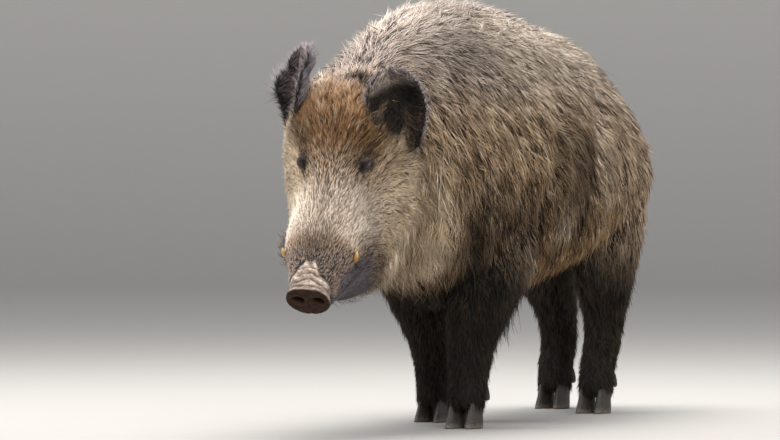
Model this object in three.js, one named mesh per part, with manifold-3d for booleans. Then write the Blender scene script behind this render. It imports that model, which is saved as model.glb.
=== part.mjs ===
// A life-size adult wild boar (Sus scrofa), standing square on four feet with its head hung low.
// Millimetres, +Z up. The animal faces -Y and its left side is +X. The origin is on the floor,
// under the middle of its bounding box. Every outline is taken to the tips of the winter coat.
import * as THREE from "three";
import { mergeVertices } from "three/addons/utils/BufferGeometryUtils.js";
import Module from "manifold-3d";

const wasm = await Module();
wasm.setup();

// ---------------------------------------------------------------- driving sizes
const GAP = 0.3; // clear space between neighbouring pieces
const CUT = 0.4; // how far a cutter is grown, so that a gap of about GAP stays
const LEG_SPREAD = 86; // from the middle plane to the middle of a foot
const FOOT = { foreLeft: -345, foreRight: -110, hindLeft: 402, hindRight: 585 }; // where each foot stands, along Y
const EYES = new THREE.Vector3(-24, -777, 558); // the middle point between the two eyes
const HEAD_PITCH = 58; // the face hangs down by this many degrees
const HEAD_TURN = 3; // and turns to the animal's left
const HEAD_ROLL = 5; // with its left side lowered
const EYE_RADIUS = 12;
const EYE_HALF_SPREAD = 69;
const HOOF_HEIGHT = 50;

const deg = THREE.MathUtils.degToRad;

// ---------------------------------------------------------------- materials
const finish = (color, roughness) => new THREE.MeshStandardMaterial({ color, roughness, metalness: 0 });
const COAT = finish(0x6b5f52, 0.9);
const DARK_COAT = finish(0x2a2623, 0.9);
const MUZZLE = finish(0x8a7c6e, 0.7);
const NOSE = finish(0x5b4a40, 0.6);
const HORN = finish(0x1d1a18, 0.5);
const IVORY = finish(0xc9a75c, 0.4);
const EYE = finish(0x0c0806, 0.1);

// ---------------------------------------------------------------- shaping helpers
// A smooth curve through the values of one field of a list of stations, read at a share from 0 to 1.
function smooth(stations, field) {
  const points = stations.map((s) => new THREE.Vector3(s[field] ?? 0, 0, 0));
  const curve = new THREE.CatmullRomCurve3(points, false, "catmullrom", 0.5);
  return (share) => curve.getPoint(share).x;
}

// Every field of the stations as one object, at a share from 0 to 1 of the way through them.
function reader(stations) {
  const fields = Object.keys(stations[0]);
  const curves = Object.fromEntries(fields.map((f) => [f, smooth(stations, f)]));
  return (share) => Object.fromEntries(fields.map((f) => [f, curves[f](share)]));
}

// A closed tube: a capped cylinder whose rings are laid on the rings that place(share, angle) gives.
function loft(rings, sides, place) {
  const tube = new THREE.CylinderGeometry(1, 1, 1, sides, rings).deleteAttribute("normal").deleteAttribute("uv");
  const p = tube.attributes.position;
  const centres = [0, 1].map((share) => {
    const middle = new THREE.Vector3();
    for (let i = 0; i < sides; i++) middle.add(place(share, (2 * Math.PI * i) / sides));
    return middle.divideScalar(sides);
  });
  for (let i = 0; i < p.count; i++) {
    const share = p.getY(i) + 0.5;
    const onAxis = Math.hypot(p.getX(i), p.getZ(i)) < 0.5;
    const v = onAxis ? centres[Math.round(share)] : place(share, Math.atan2(p.getX(i), p.getZ(i)));
    p.setXYZ(i, v.x, v.y, v.z);
  }
  return mergeVertices(tube, 1e-3);
}

// A solid for cutting and joining, turned the right way out.
function solid(geometry) {
  const merged = mergeVertices(geometry, 1e-3);
  const make = (tri) =>
    new wasm.Manifold(new wasm.Mesh({ numProp: 3, vertProperties: merged.attributes.position.array, triVerts: tri }));
  const triangles = new Uint32Array(merged.index.array);
  const made = make(triangles);
  if (made.volume() > 0) return made;
  for (let i = 0; i < triangles.length; i += 3) {
    [triangles[i + 1], triangles[i + 2]] = [triangles[i + 2], triangles[i + 1]];
  }
  return make(triangles);
}

function geometryOf(made) {
  const mesh = made.getMesh();
  const g = new THREE.BufferGeometry();
  g.setAttribute("position", new THREE.BufferAttribute(new Float32Array(mesh.vertProperties), 3));
  g.setIndex(new THREE.BufferAttribute(new Uint32Array(mesh.triVerts), 1));
  return g;
}

function plain(geometry, matrix) {
  const g = geometry.clone().deleteAttribute("normal").deleteAttribute("uv");
  return matrix ? g.applyMatrix4(matrix) : g;
}

// A large box that fills the side of a plane that its normal points into, as a half-space for cutting.
function halfSpace(point, normal) {
  const SIDE = 4000;
  const turn = new THREE.Quaternion().setFromUnitVectors(new THREE.Vector3(0, 0, 1), normal.clone().normalize());
  const m = new THREE.Matrix4().compose(point, turn, new THREE.Vector3(1, 1, 1));
  return solid(plain(new THREE.BoxGeometry(SIDE, SIDE, SIDE).translate(0, 0, SIDE / 2), m));
}

// Both sides of a cut through a solid, GAP apart: [the side the normal points into, the other side].
function part(whole, point, normal) {
  const n = normal.clone().normalize();
  const ahead = point.clone().addScaledVector(n, GAP / 2);
  const behind = point.clone().addScaledVector(n, -GAP / 2);
  return [whole.intersect(halfSpace(ahead, n)), whole.intersect(halfSpace(behind, n.negate()))];
}

// A body section as a closed smooth outline. Its half-widths are given near the top, at the widest level and
// near the bottom; grow sets it outwards. Returns the point at an angle from 0 at the top round the left side.
function outline(s, grow) {
  const depth = s.top - s.bottom;
  const level = s.bottom + s.level * depth;
  const right = [
    [0, s.top + grow],
    [s.back + grow, s.top - 0.13 * depth + grow / 2],
    [s.side + grow, level],
    [s.low + grow, s.bottom + 0.13 * depth - grow / 2],
    [0, s.bottom - grow],
  ];
  const left = right.slice(1, -1).reverse();
  const points = [...right, ...left.map(([x, z]) => [-x, z])].map(([x, z]) => new THREE.Vector3(x, 0, z));
  const curve = new THREE.CatmullRomCurve3(points, true, "centripetal");
  return (angle) => {
    const turn = angle / (2 * Math.PI);
    return curve.getPoint(turn - Math.floor(turn));
  };
}

// ---------------------------------------------------------------- trunk and neck
// Sections from the rump to the nape. y and z place the middle of each; tilt leans its top forward, in degrees;
// top and bottom are measured from there, and back, side and low are half-widths.
const TRUNK = [
  { y: 654, z: 560, tilt: 0, top: 40, bottom: -60, back: 26, side: 42, low: 26, level: 0.5 },
  { y: 630, z: 560, tilt: 0, top: 112, bottom: -140, back: 62, side: 106, low: 70, level: 0.48 },
  { y: 565, z: 560, tilt: 0, top: 185, bottom: -190, back: 80, side: 152, low: 105, level: 0.46 },
  { y: 475, z: 560, tilt: 0, top: 250, bottom: -205, back: 84, side: 186, low: 130, level: 0.44 },
  { y: 365, z: 560, tilt: 0, top: 289, bottom: -210, back: 96, side: 206, low: 150, level: 0.42 },
  { y: 220, z: 560, tilt: 0, top: 307, bottom: -240, back: 122, side: 221, low: 165, level: 0.43 },
  { y: 50, z: 560, tilt: 0, top: 326, bottom: -275, back: 130, side: 227, low: 165, level: 0.45 },
  { y: -120, z: 560, tilt: 0, top: 345, bottom: -300, back: 126, side: 225, low: 158, level: 0.46 },
  { y: -280, z: 560, tilt: 4, top: 346, bottom: -300, back: 120, side: 214, low: 145, level: 0.5 },
  { y: -420, z: 558, tilt: 12, top: 325, bottom: -306, back: 112, side: 198, low: 146, level: 0.48 },
  { y: -535, z: 552, tilt: 20, top: 282, bottom: -286, back: 106, side: 184, low: 136, level: 0.47 },
  { y: -635, z: 548, tilt: 28, top: 222, bottom: -248, back: 94, side: 156, low: 104, level: 0.47 },
];
const TRUNK_RINGS = 28;
const TRUNK_SIDES = 24;

function trunkSolid(grow) {
  const at = reader(TRUNK);
  return solid(
    loft(TRUNK_RINGS, TRUNK_SIDES, (share, angle) => {
      const s = at(share);
      const end = share === 0 ? grow : share === 1 ? -grow : 0;
      const p = outline(s, grow)(angle);
      const lean = deg(s.tilt);
      return new THREE.Vector3(p.x, s.y + end - p.z * Math.sin(lean), s.z + p.z * Math.cos(lean));
    }),
  );
}

// ---------------------------------------------------------------- head
// The head's own frame: its origin is midway between the eyes, +Y runs along the face to the nose,
// +Z is the top of the head and +X is the animal's left.
const HEAD = new THREE.Matrix4()
  .makeTranslation(EYES)
  .multiply(new THREE.Matrix4().makeRotationZ(Math.PI + deg(HEAD_TURN)))
  .multiply(new THREE.Matrix4().makeRotationX(-deg(HEAD_PITCH)))
  .multiply(new THREE.Matrix4().makeRotationY(-deg(HEAD_ROLL)))
  .multiply(new THREE.Matrix4().makeScale(-1, 1, 1));

// Sections from the nape to the nose. back is the half-width of the forehead or nose bridge.
const FACE = [
  { y: -215, top: 30, bottom: -190, back: 76, side: 118, low: 80, level: 0.5 },
  { y: -150, top: 64, bottom: -250, back: 94, side: 142, low: 100, level: 0.46 },
  { y: -90, top: 68, bottom: -280, back: 94, side: 156, low: 112, level: 0.42 },
  { y: -30, top: 55, bottom: -285, back: 78, side: 150, low: 112, level: 0.38 },
  { y: 30, top: 40, bottom: -268, back: 58, side: 130, low: 100, level: 0.36 },
  { y: 95, top: 30, bottom: -272, back: 60, side: 110, low: 88, level: 0.46 },
  { y: 155, top: 25, bottom: -244, back: 64, side: 93, low: 72, level: 0.58 },
  { y: 205, top: 20, bottom: -200, back: 58, side: 76, low: 54, level: 0.62 },
  { y: 252, top: 16, bottom: -128, back: 43, side: 54, low: 40, level: 0.58 },
  { y: 296, top: 13, bottom: -66, back: 34, side: 42, low: 34, level: 0.5 },
];
const FACE_RINGS = 24;
const FACE_SIDES = 24;

function headSolid(grow) {
  const at = reader(FACE);
  const g = loft(FACE_RINGS, FACE_SIDES, (share, angle) => {
    const s = at(share);
    const end = share === 0 ? -grow : share === 1 ? grow : 0;
    const p = outline(s, grow)(angle);
    return new THREE.Vector3(p.x, s.y + end, p.z);
  });
  return solid(g.applyMatrix4(HEAD));
}

const inHead = (x, y, z) => new THREE.Vector3(x, y, z).applyMatrix4(HEAD);
const headWay = (x, y, z) => new THREE.Vector3(x, y, z).transformDirection(HEAD);

// ---------------------------------------------------------------- nose disc with its two nostrils
const NOSE_DISC = { halfWidth: 47, halfHeight: 39, thickness: 18, tilt: 6, y: 297, z: -28 };
const NOSTRIL = { spread: 18, z: -2, radius: 8, depth: 9 };

const noseFrame = () =>
  HEAD.clone()
    .multiply(new THREE.Matrix4().makeTranslation(0, NOSE_DISC.y, NOSE_DISC.z))
    .multiply(new THREE.Matrix4().makeRotationX(-Math.PI / 2 - deg(NOSE_DISC.tilt)));

function nosePlate(grow) {
  const { halfWidth, halfHeight, thickness } = NOSE_DISC;
  const ROUND = 4;
  const rim = new THREE.Shape().absellipse(0, 0, halfWidth - ROUND, halfHeight - ROUND, 0, 2 * Math.PI);
  const plate = new THREE.ExtrudeGeometry(rim, {
    depth: thickness - 2 * ROUND,
    bevelThickness: ROUND + grow,
    bevelSize: ROUND + grow,
    bevelSegments: 1,
    curveSegments: 11,
  });
  return solid(plain(plate.translate(0, 0, ROUND), noseFrame()));
}

function noseDisc() {
  let made = nosePlate(0);
  for (const side of [-1, 1]) {
    const pit = new THREE.CylinderGeometry(NOSTRIL.radius, NOSTRIL.radius * 0.7, 2 * NOSTRIL.depth, 10);
    pit.rotateX(Math.PI / 2).scale(1, 1.15, 1);
    pit.translate(side * NOSTRIL.spread, -NOSTRIL.z, NOSE_DISC.thickness);
    made = made.subtract(solid(plain(pit, noseFrame())));
  }
  return made;
}

// ---------------------------------------------------------------- ears
// A cupped leaf: the margins curl round a hollow. Each ear stands nearly upright and turns its hollow out from
// straight ahead by its own angle.
const EAR = { length: 172, width: 70, root: 36, thickness: 7, widest: 0.46, rootCurl: 88, tipCurl: 40, nod: 14 };
const EAR_POSE = {
  left: { root: [127, -74, -52], turn: 26, lean: -9, forward: 18 },
  right: { root: [-106, -92, -34], turn: 46, lean: -8, forward: -6 },
};

function earSolid(side, { root, turn, lean, forward }) {
  const ACROSS = 7;
  const ALONG = 7;
  const leaf = new THREE.BoxGeometry(1, 1, 1, ACROSS, ALONG, 1);
  const p = leaf.attributes.position;
  for (let i = 0; i < p.count; i++) {
    const along = p.getY(i) + 0.5;
    const open = THREE.MathUtils.lerp(EAR.root, EAR.width, THREE.MathUtils.smoothstep(along, 0, EAR.widest));
    const past = Math.max(along - EAR.widest, 0) / (1 - EAR.widest);
    const half = open * Math.sqrt(1 - 0.96 * Math.pow(past, 2.4));
    const bend = deg(THREE.MathUtils.lerp(EAR.rootCurl, EAR.tipCurl, along));
    const radius = half / bend;
    const r = radius - p.getZ(i) * EAR.thickness;
    const angle = 2 * p.getX(i) * bend;
    p.setXYZ(i, r * Math.sin(angle), along * EAR.length, radius - r * Math.cos(angle) + EAR.nod * along * along);
  }
  const hollow = new THREE.Vector3(side * Math.sin(deg(turn)), -Math.cos(deg(turn)), 0);
  const length = new THREE.Vector3(side * Math.sin(deg(lean)), -Math.sin(deg(forward)), Math.cos(deg(lean)));
  length.normalize();
  const across = new THREE.Vector3().crossVectors(length, hollow).normalize();
  hollow.crossVectors(across, length);
  const pose = new THREE.Matrix4()
    .makeBasis(across, length, hollow)
    .setPosition(inHead(...root));
  return solid(plain(leaf, pose));
}

// ---------------------------------------------------------------- eyes
function eyeSolid(side, grow) {
  const ball = new THREE.SphereGeometry(EYE_RADIUS + grow, 12, 7);
  ball.rotateX(Math.PI / 2).translate(side * EYE_HALF_SPREAD, 0, 0);
  return solid(plain(ball, HEAD));
}

// The shallow bowl that each eye sits in.
function socketSolid(side) {
  const bowl = new THREE.SphereGeometry(1, 12, 6).rotateX(Math.PI / 2).scale(13, 25, 17);
  return solid(plain(bowl.translate(side * (EYE_HALF_SPREAD + 13), 2, 0), HEAD));
}

// ---------------------------------------------------------------- tusks
// Each lower tusk is a pointed crescent that rises from the lower lip along the side of the muzzle.
const TUSK = [
  { x: 54, y: 208, z: -82, size: 8 },
  { x: 64, y: 209, z: -64, size: 7.5 },
  { x: 72, y: 204, z: -46, size: 6.5 },
  { x: 77, y: 194, z: -30, size: 4.5 },
  { x: 77, y: 182, z: -18, size: 1 },
];

function tuskSolid(side, grow) {
  const at = reader(TUSK);
  const tube = loft(6, 7, (share, angle) => {
    const s = at(share);
    const size = s.size + grow;
    return inHead(side * (s.x + size * Math.cos(angle)), s.y + size * Math.sin(angle), s.z);
  });
  return solid(tube);
}

// ---------------------------------------------------------------- mouth
// The lower jaw is what lies below the mouth line and ahead of the jaw's angle.
const MOUTH = { y: 96, z: -86, down: [0, 0.08, -1], ahead: [0, 0.874, -0.487] };

function jawSpace(grow) {
  const corner = (way) => inHead(0, MOUTH.y, MOUTH.z).addScaledVector(headWay(...way), -grow);
  const below = halfSpace(corner(MOUTH.down), headWay(...MOUTH.down));
  return below.intersect(halfSpace(corner(MOUTH.ahead), headWay(...MOUTH.ahead)));
}

// ---------------------------------------------------------------- legs
// Level sections from high in the body to the fetlock. x is measured out from the foot and y back from it.
const FORELEG = [
  { z: 560, x: 10, y: 30, wide: 60, long: 90 },
  { z: 450, x: 24, y: 25, wide: 84, long: 118 },
  { z: 360, x: 28, y: 18, wide: 86, long: 128 },
  { z: 290, x: 22, y: 10, wide: 77, long: 120 },
  { z: 228, x: 12, y: 6, wide: 62, long: 98 },
  { z: 172, x: 4, y: 2, wide: 47, long: 70 },
  { z: 110, x: 0, y: 2, wide: 41, long: 50 },
  { z: HOOF_HEIGHT, x: 0, y: -4, wide: 40, long: 43 },
];
const HINDLEG = [
  { z: 600, x: 16, y: -20, wide: 62, long: 130 },
  { z: 490, x: 26, y: -18, wide: 76, long: 158 },
  { z: 410, x: 22, y: -12, wide: 75, long: 150 },
  { z: 343, x: 15, y: 0, wide: 68, long: 134 },
  { z: 275, x: 8, y: 25, wide: 57, long: 104 },
  { z: 222, x: 3, y: 42, wide: 47, long: 74 },
  { z: 155, x: 0, y: 38, wide: 39, long: 50 },
  { z: 100, x: 0, y: 8, wide: 38, long: 42 },
  { z: HOOF_HEIGHT, x: 0, y: 0, wide: 39, long: 42 },
];
const LEG_RINGS = 14;
const LEG_SIDES = 12;

// The shoulder or hip end stays with the body at home; the foot end follows where the foot stands.
function legSolid({ stations, side, footY, homeY }, grow) {
  const at = reader(stations);
  return solid(
    loft(LEG_RINGS, LEG_SIDES, (share, angle) => {
      const s = at(share);
      const swing = THREE.MathUtils.smoothstep(s.z, HOOF_HEIGHT, stations[0].z);
      const y = THREE.MathUtils.lerp(footY, homeY, swing) + s.y;
      const x = side * (LEG_SPREAD + s.x);
      return new THREE.Vector3(x + (s.wide + grow) * Math.sin(angle), y - (s.long + grow) * Math.cos(angle), s.z);
    }),
  );
}

// ---------------------------------------------------------------- hooves and dewclaws
const HOOF = { length: 84, width: 38, spacing: 20.5, lean: 16, taper: 0.22, splay: 0.06 };

// A hoof is a pointed D in plan, flat below, leaning back towards its top. outer is 1 or -1 along X.
function hoofSolid(x, y, outer) {
  return solid(
    loft(3, 12, (share, angle) => {
      const slim = 1 - HOOF.taper * share;
      const ahead = Math.cos(angle);
      const narrow = 1 - 0.35 * Math.max(ahead, 0);
      const across = Math.sin(angle) * narrow * slim * (HOOF.width / 2);
      const along = ahead * slim * (HOOF.length / 2) - HOOF.lean * share;
      return new THREE.Vector3(x + across + outer * HOOF.splay * along, y - along, share * (HOOF_HEIGHT - GAP));
    }),
  );
}

const DEWCLAW = { spread: 23, back: 34, top: 94, bottom: 56, size: 15, sweep: 12 };

// A dewclaw is a small blunt hoof that hangs behind the fetlock.
function dewclawSolid(x, y, outer) {
  return solid(
    loft(3, 8, (share, angle) => {
      const size = DEWCLAW.size * (0.45 + 0.85 * share - 0.45 * share * share);
      const low = 1 - share;
      return new THREE.Vector3(
        x + outer * 6 * low + size * Math.sin(angle),
        y + DEWCLAW.sweep * low - size * Math.cos(angle),
        THREE.MathUtils.lerp(DEWCLAW.bottom, DEWCLAW.top, share),
      );
    }),
  );
}

// ---------------------------------------------------------------- tail
const TAIL = [
  { y: 570, z: 690, size: 26 },
  { y: 630, z: 672, size: 22 },
  { y: 668, z: 600, size: 17 },
  { y: 677, z: 530, size: 15 },
  { y: 678, z: 460, size: 20 },
  { y: 676, z: 395, size: 7 },
];

function tailSolid() {
  const at = reader(TAIL);
  return solid(
    loft(10, 9, (share, angle) => {
      const s = at(share);
      const next = at(Math.min(share + 0.02, 1));
      const last = at(Math.max(share - 0.02, 0));
      const across = new THREE.Vector3(1, 0, 0);
      const along = new THREE.Vector3(0, next.y - last.y, next.z - last.z).normalize();
      const up = new THREE.Vector3().crossVectors(across, along);
      return new THREE.Vector3(0, s.y, s.z)
        .addScaledVector(across, s.size * Math.sin(angle))
        .addScaledVector(up, s.size * Math.cos(angle));
    }),
  );
}

// ---------------------------------------------------------------- assembly
const boar = new THREE.Group();
const add = (name, made, material) => {
  const mesh = new THREE.Mesh(geometryOf(made), material);
  mesh.name = name;
  boar.add(mesh);
};

// The neck parts from the trunk ahead of the shoulders. The head ends at a plane behind the ears and the jaw, and
// the neck's ruff wraps round it there.
const [throat, trunk] = part(trunkSolid(0), new THREE.Vector3(0, -365, 560), new THREE.Vector3(0, -1, 0.12));
const headEnd = inHead(0, -100, -100);
const headOn = headWay(0, 0.917, 0.4);
const [face, nape] = part(headSolid(0), headEnd, headOn);
const faceRoom = headSolid(CUT).intersect(halfSpace(headEnd.clone().addScaledVector(headOn, -GAP / 2), headOn));
const neck = throat.add(nape).subtract(faceRoom);

let head = face.subtract(nosePlate(CUT));
for (const side of [-1, 1]) {
  head = head.subtract(socketSolid(side)).subtract(eyeSolid(side, CUT)).subtract(tuskSolid(side, CUT));
}
const lowerJaw = head.intersect(jawSpace(-GAP / 2));
add("trunk", trunk, COAT);
add("neck", neck, COAT);
add("head", head.subtract(jawSpace(GAP / 2)), COAT);
add("lower_jaw", lowerJaw, MUZZLE);
add("nose_disc", noseDisc(), NOSE);

const bodyGrown = trunkSolid(CUT).add(headSolid(CUT));
for (const [name, side] of [["left", 1], ["right", -1]]) {
  add(`eye_${name}`, eyeSolid(side, 0), EYE);
  add(`ear_${name}`, earSolid(side, EAR_POSE[name]).subtract(bodyGrown), DARK_COAT);
  add(`tusk_${name}`, tuskSolid(side, 0), IVORY);
}
add("tail", tailSolid().subtract(bodyGrown), COAT);

const LEGS = {
  foreleg_left: { stations: FORELEG, side: 1, footY: FOOT.foreLeft, homeY: -255 },
  foreleg_right: { stations: FORELEG, side: -1, footY: FOOT.foreRight, homeY: -215 },
  hindleg_left: { stations: HINDLEG, side: 1, footY: FOOT.hindLeft, homeY: 420 },
  hindleg_right: { stations: HINDLEG, side: -1, footY: FOOT.hindRight, homeY: 470 },
};
for (const [name, leg] of Object.entries(LEGS)) {
  add(name, legSolid(leg, 0).subtract(bodyGrown), DARK_COAT);
  const grown = legSolid(leg, CUT);
  for (const [toe, outer] of [["outer", leg.side], ["inner", -leg.side]]) {
    const footX = leg.side * LEG_SPREAD;
    add(`hoof_${name}_${toe}`, hoofSolid(footX + outer * HOOF.spacing, leg.footY - 16, outer), HORN);
    const dewclaw = dewclawSolid(footX + outer * DEWCLAW.spread, leg.footY + DEWCLAW.back, outer);
    add(`dewclaw_${name}_${toe}`, dewclaw.subtract(grown), HORN);
  }
}

// The origin moves to the floor under the middle of the whole animal.
const reach = new THREE.Box3().setFromObject(boar);
const middle = reach.getCenter(new THREE.Vector3());
boar.position.set(-middle.x, -middle.y, -reach.min.z);

export default boar;
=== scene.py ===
# %% [markdown]
# # A wild boar, life size
#
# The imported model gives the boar's body as plain solids. This lesson grows the animal over them: one
# skin with lids, folds and lips, horn and ivory parts, and a winter coat of solid tufts. Everything is
# in metres, +Z is up, the boar faces -Y and its left side is +X. Loading the frame comes first, because
# every place below is worked out from its nodes.

# %% Load the frame
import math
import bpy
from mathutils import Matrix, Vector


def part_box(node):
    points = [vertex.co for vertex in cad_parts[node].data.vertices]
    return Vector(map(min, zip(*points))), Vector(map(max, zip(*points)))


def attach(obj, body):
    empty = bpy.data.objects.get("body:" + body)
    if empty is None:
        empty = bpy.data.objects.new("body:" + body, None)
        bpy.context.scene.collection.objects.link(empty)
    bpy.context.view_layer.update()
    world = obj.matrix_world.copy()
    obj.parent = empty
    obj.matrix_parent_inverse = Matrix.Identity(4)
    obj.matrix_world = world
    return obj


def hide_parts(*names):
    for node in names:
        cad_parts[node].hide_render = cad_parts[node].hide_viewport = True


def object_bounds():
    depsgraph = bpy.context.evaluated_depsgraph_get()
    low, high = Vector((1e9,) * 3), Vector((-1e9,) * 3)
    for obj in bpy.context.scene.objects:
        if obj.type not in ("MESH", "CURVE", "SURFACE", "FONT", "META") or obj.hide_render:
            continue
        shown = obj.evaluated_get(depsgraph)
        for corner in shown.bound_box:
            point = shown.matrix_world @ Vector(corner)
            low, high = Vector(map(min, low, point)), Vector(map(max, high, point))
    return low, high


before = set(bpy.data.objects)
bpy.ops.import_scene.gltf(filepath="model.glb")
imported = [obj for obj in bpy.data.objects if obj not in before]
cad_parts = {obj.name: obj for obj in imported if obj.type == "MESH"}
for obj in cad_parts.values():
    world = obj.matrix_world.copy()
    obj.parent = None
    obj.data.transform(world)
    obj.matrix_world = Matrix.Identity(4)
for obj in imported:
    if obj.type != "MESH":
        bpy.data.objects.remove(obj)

# %% What else is needed
from types import SimpleNamespace

import bmesh
import bpy
import numpy as np
from mathutils import Vector
from mathutils.bvhtree import BVHTree
from mathutils.kdtree import KDTree

cad_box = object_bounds()
MM = 0.001
CHANCE = np.random.default_rng(7)
print("solids", len(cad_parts), "box", [round(v, 3) for corner in cad_box for v in corner])

# %% [markdown]
# Many steps below fade one thing into another along the animal. Two small functions do all of it: an
# S-shaped step and a bell. Both take whole arrays of points, which is what keeps a hundred thousand
# tufts quick.

# %% Fades
def fade(value, start, end):
    """0 at start, 1 at end, smooth between; start may be the larger."""
    share = np.clip((value - start) / (end - start), 0, 1)
    return share * share * (3 - 2 * share)


def bell(value, middle, spread):
    return np.exp(-(((value - middle) / spread) ** 2))


def unit(vectors):
    return vectors / np.maximum(np.linalg.norm(vectors, axis=-1, keepdims=True), 1e-9)


def middle_of(node):
    low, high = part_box(node)
    return np.array((low + high) / 2)


# %% [markdown]
# Shader maths reads best as plain expressions. `Wire` wraps one output of a node, and its operators add
# Math nodes, so `1 - mask * 0.5` is three words and not three nodes to place by hand. `Finish` is one
# material: it makes any other node from its type, its settings and its sockets.

# %% Shader helpers
class Wire:
    """An output of a shader node. Arithmetic on it adds Math nodes."""

    def __init__(self, finish, socket):
        self.finish = finish
        self.socket = socket

    def math(self, operation, first, second):
        return self.finish.node("ShaderNodeMath", {"operation": operation}, {0: first, 1: second})

    def __add__(self, other):
        return self.math("ADD", self, other)

    def __sub__(self, other):
        return self.math("SUBTRACT", self, other)

    def __rsub__(self, other):
        return self.math("SUBTRACT", other, self)

    def __mul__(self, other):
        return self.math("MULTIPLY", self, other)

    __radd__ = __add__
    __rmul__ = __mul__

    def between(self, start, end):
        """0 at start, 1 at end, smooth between."""
        settings = {"interpolation_type": "SMOOTHSTEP"}
        low, high = (start, end) if start < end else (end, start)
        to = {"To Min": float(start > end), "To Max": float(start < end)}
        return self.finish.node(
            "ShaderNodeMapRange", settings, {"Value": self, "From Min": low, "From Max": high, **to}
        )


# %% One material
class Finish:
    """One material and its node tree."""

    def __init__(self, name):
        self.material = bpy.data.materials.new(name)
        self.material.use_nodes = True
        self.tree = self.material.node_tree
        self.tree.nodes.clear()

    def node(self, kind, settings=None, sockets=None, output=0):
        made = self.tree.nodes.new(kind)
        for setting, value in (settings or {}).items():
            setattr(made, setting, value)
        for key, value in (sockets or {}).items():
            if isinstance(value, Wire):
                self.tree.links.new(value.socket, made.inputs[key])
            else:
                made.inputs[key].default_value = value
        return Wire(self, made.outputs[output]) if made.outputs else None

    def mix(self, first, second, share, blend="MIX"):
        """Between two colours, each a wire or a tuple."""
        settings = {"data_type": "RGBA", "blend_type": blend}
        return self.node("ShaderNodeMix", settings, {0: share, 6: first, 7: second}, output=2)

    def place(self, scale=1.0):
        """The point being shaded, in metres times scale."""
        point = self.node("ShaderNodeTexCoord", output=3)
        return self.node("ShaderNodeVectorMath", {"operation": "SCALE"}, {0: point, "Scale": scale})

    def noise(self, size, detail=2.0, stretch=(1, 1, 1)):
        """Cloudy noise with lumps about size metres across."""
        where = self.node("ShaderNodeVectorMath", {"operation": "MULTIPLY"}, {0: self.place(), 1: stretch})
        return self.node("ShaderNodeTexNoise", None, {"Vector": where, "Scale": 1 / size, "Detail": detail})

    def value(self, name):
        """A number that the mesh carries at each of its points."""
        return self.node("ShaderNodeAttribute", {"attribute_name": name}, output=2)

    def bump(self, height, depth, strength=1.0):
        sockets = {"Height": height, "Distance": depth, "Strength": strength}
        return self.node("ShaderNodeBump", None, sockets)

    def surface(self, **sockets):
        named = {key.replace("_", " ").title(): value for key, value in sockets.items()}
        named = {key.replace("Ior", "IOR"): value for key, value in named.items()}
        shader = self.node("ShaderNodeBsdfPrincipled", None, named)
        self.node("ShaderNodeOutputMaterial", None, {"Surface": shader})
        return self.material


# %% Colours
def tint(code):
    """A colour from its web code, as the renderer's linear numbers."""
    parts = [int(code[i : i + 2], 16) / 255 for i in (0, 2, 4)]
    linear = [p / 12.92 if p < 0.04045 else ((p + 0.055) / 1.055) ** 2.4 for p in parts]
    return (*linear, 1.0)


# %% [markdown]
# The camera stands in front of the boar's left shoulder, low and far away behind a long lens, so the
# body is foreshortened but hardly tapers. It is said as an azimuth, a distance and a height, and aimed
# at a point.

# %% Camera
AZIMUTH = 22.5
DISTANCE = 11.0
EYE_LEVEL = 0.53
STANDS_ABOUT = Vector((0.0, 0.127, 0.0))
AIM = Vector((-0.205, 0.042, 0.436))
LENS = 233.0

turn = math.radians(AZIMUTH)
camera = bpy.data.objects.new("camera", bpy.data.cameras.new("camera"))
camera.data.lens = LENS
camera.location = STANDS_ABOUT + Vector(
    (DISTANCE * math.sin(turn), -DISTANCE * math.cos(turn), EYE_LEVEL)
)
camera.rotation_euler = (AIM - camera.location).to_track_quat("-Z", "Y").to_euler()
bpy.context.scene.collection.objects.link(camera)
bpy.context.scene.camera = camera
bpy.context.scene.view_settings.view_transform = "Standard"
print("camera at", [round(v, 3) for v in camera.location])

# %% [markdown]
# The finished boar stands in a pale round studio, as in a museum's own: a floor that curves up into a
# wall all the way round, so that the boar can be looked at from any side. A large overhead box lights
# the back as an overcast sky does, a weaker one fills from the camera's side, and the world fills the
# rest.

# %% Studio
def round_studio(radius, height, bend, sides=96):
    """A round floor that turns up into a wall."""
    arc = np.linspace(0, math.pi / 2, 16)
    profile = [(0.0, 0.0), (radius / 2, 0.0)]
    profile += [(radius - bend + bend * math.sin(a), bend - bend * math.cos(a)) for a in arc]
    profile.append((radius, height))
    mesh = bpy.data.meshes.new("studio")
    bm = bmesh.new()
    verts = [bm.verts.new((r, 0, z)) for r, z in profile]
    edges = [bm.edges.new(pair) for pair in zip(verts, verts[1:])]
    bmesh.ops.spin(
        bm, geom=verts + edges, cent=(0, 0, 0), axis=(0, 0, 1), angle=2 * math.pi, steps=sides, use_merge=True
    )
    bmesh.ops.remove_doubles(bm, verts=bm.verts, dist=0.1 * MM)
    bmesh.ops.recalc_face_normals(bm, faces=bm.faces)
    bm.to_mesh(mesh)
    bm.free()
    mesh.shade_smooth()
    rise = mesh.attributes.new("rise", "FLOAT", "POINT")
    rise.data.foreach_set("value", [min(v.co.z / 4, 1.0) for v in mesh.vertices])
    return bpy.data.objects.new("studio", mesh)


def paper_finish():
    """Matt paper, a little darker on the floor than on the wall."""
    paper = Finish("pale paper")
    grain = paper.noise(0.004, 3)
    colour = paper.mix(tint("928f8b"), tint("dedad3"), paper.value("rise"))
    colour = paper.mix(colour, tint("c8c4bd"), grain * 0.1)
    return paper.surface(base_color=colour, roughness=0.9, normal=paper.bump(grain, 0.0002, 0.3))


backdrop = round_studio(radius=17, height=6.5, bend=4)
bpy.context.scene.collection.objects.link(backdrop)
backdrop.data.materials.append(paper_finish())
print("studio", len(backdrop.data.polygons), "faces")


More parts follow.
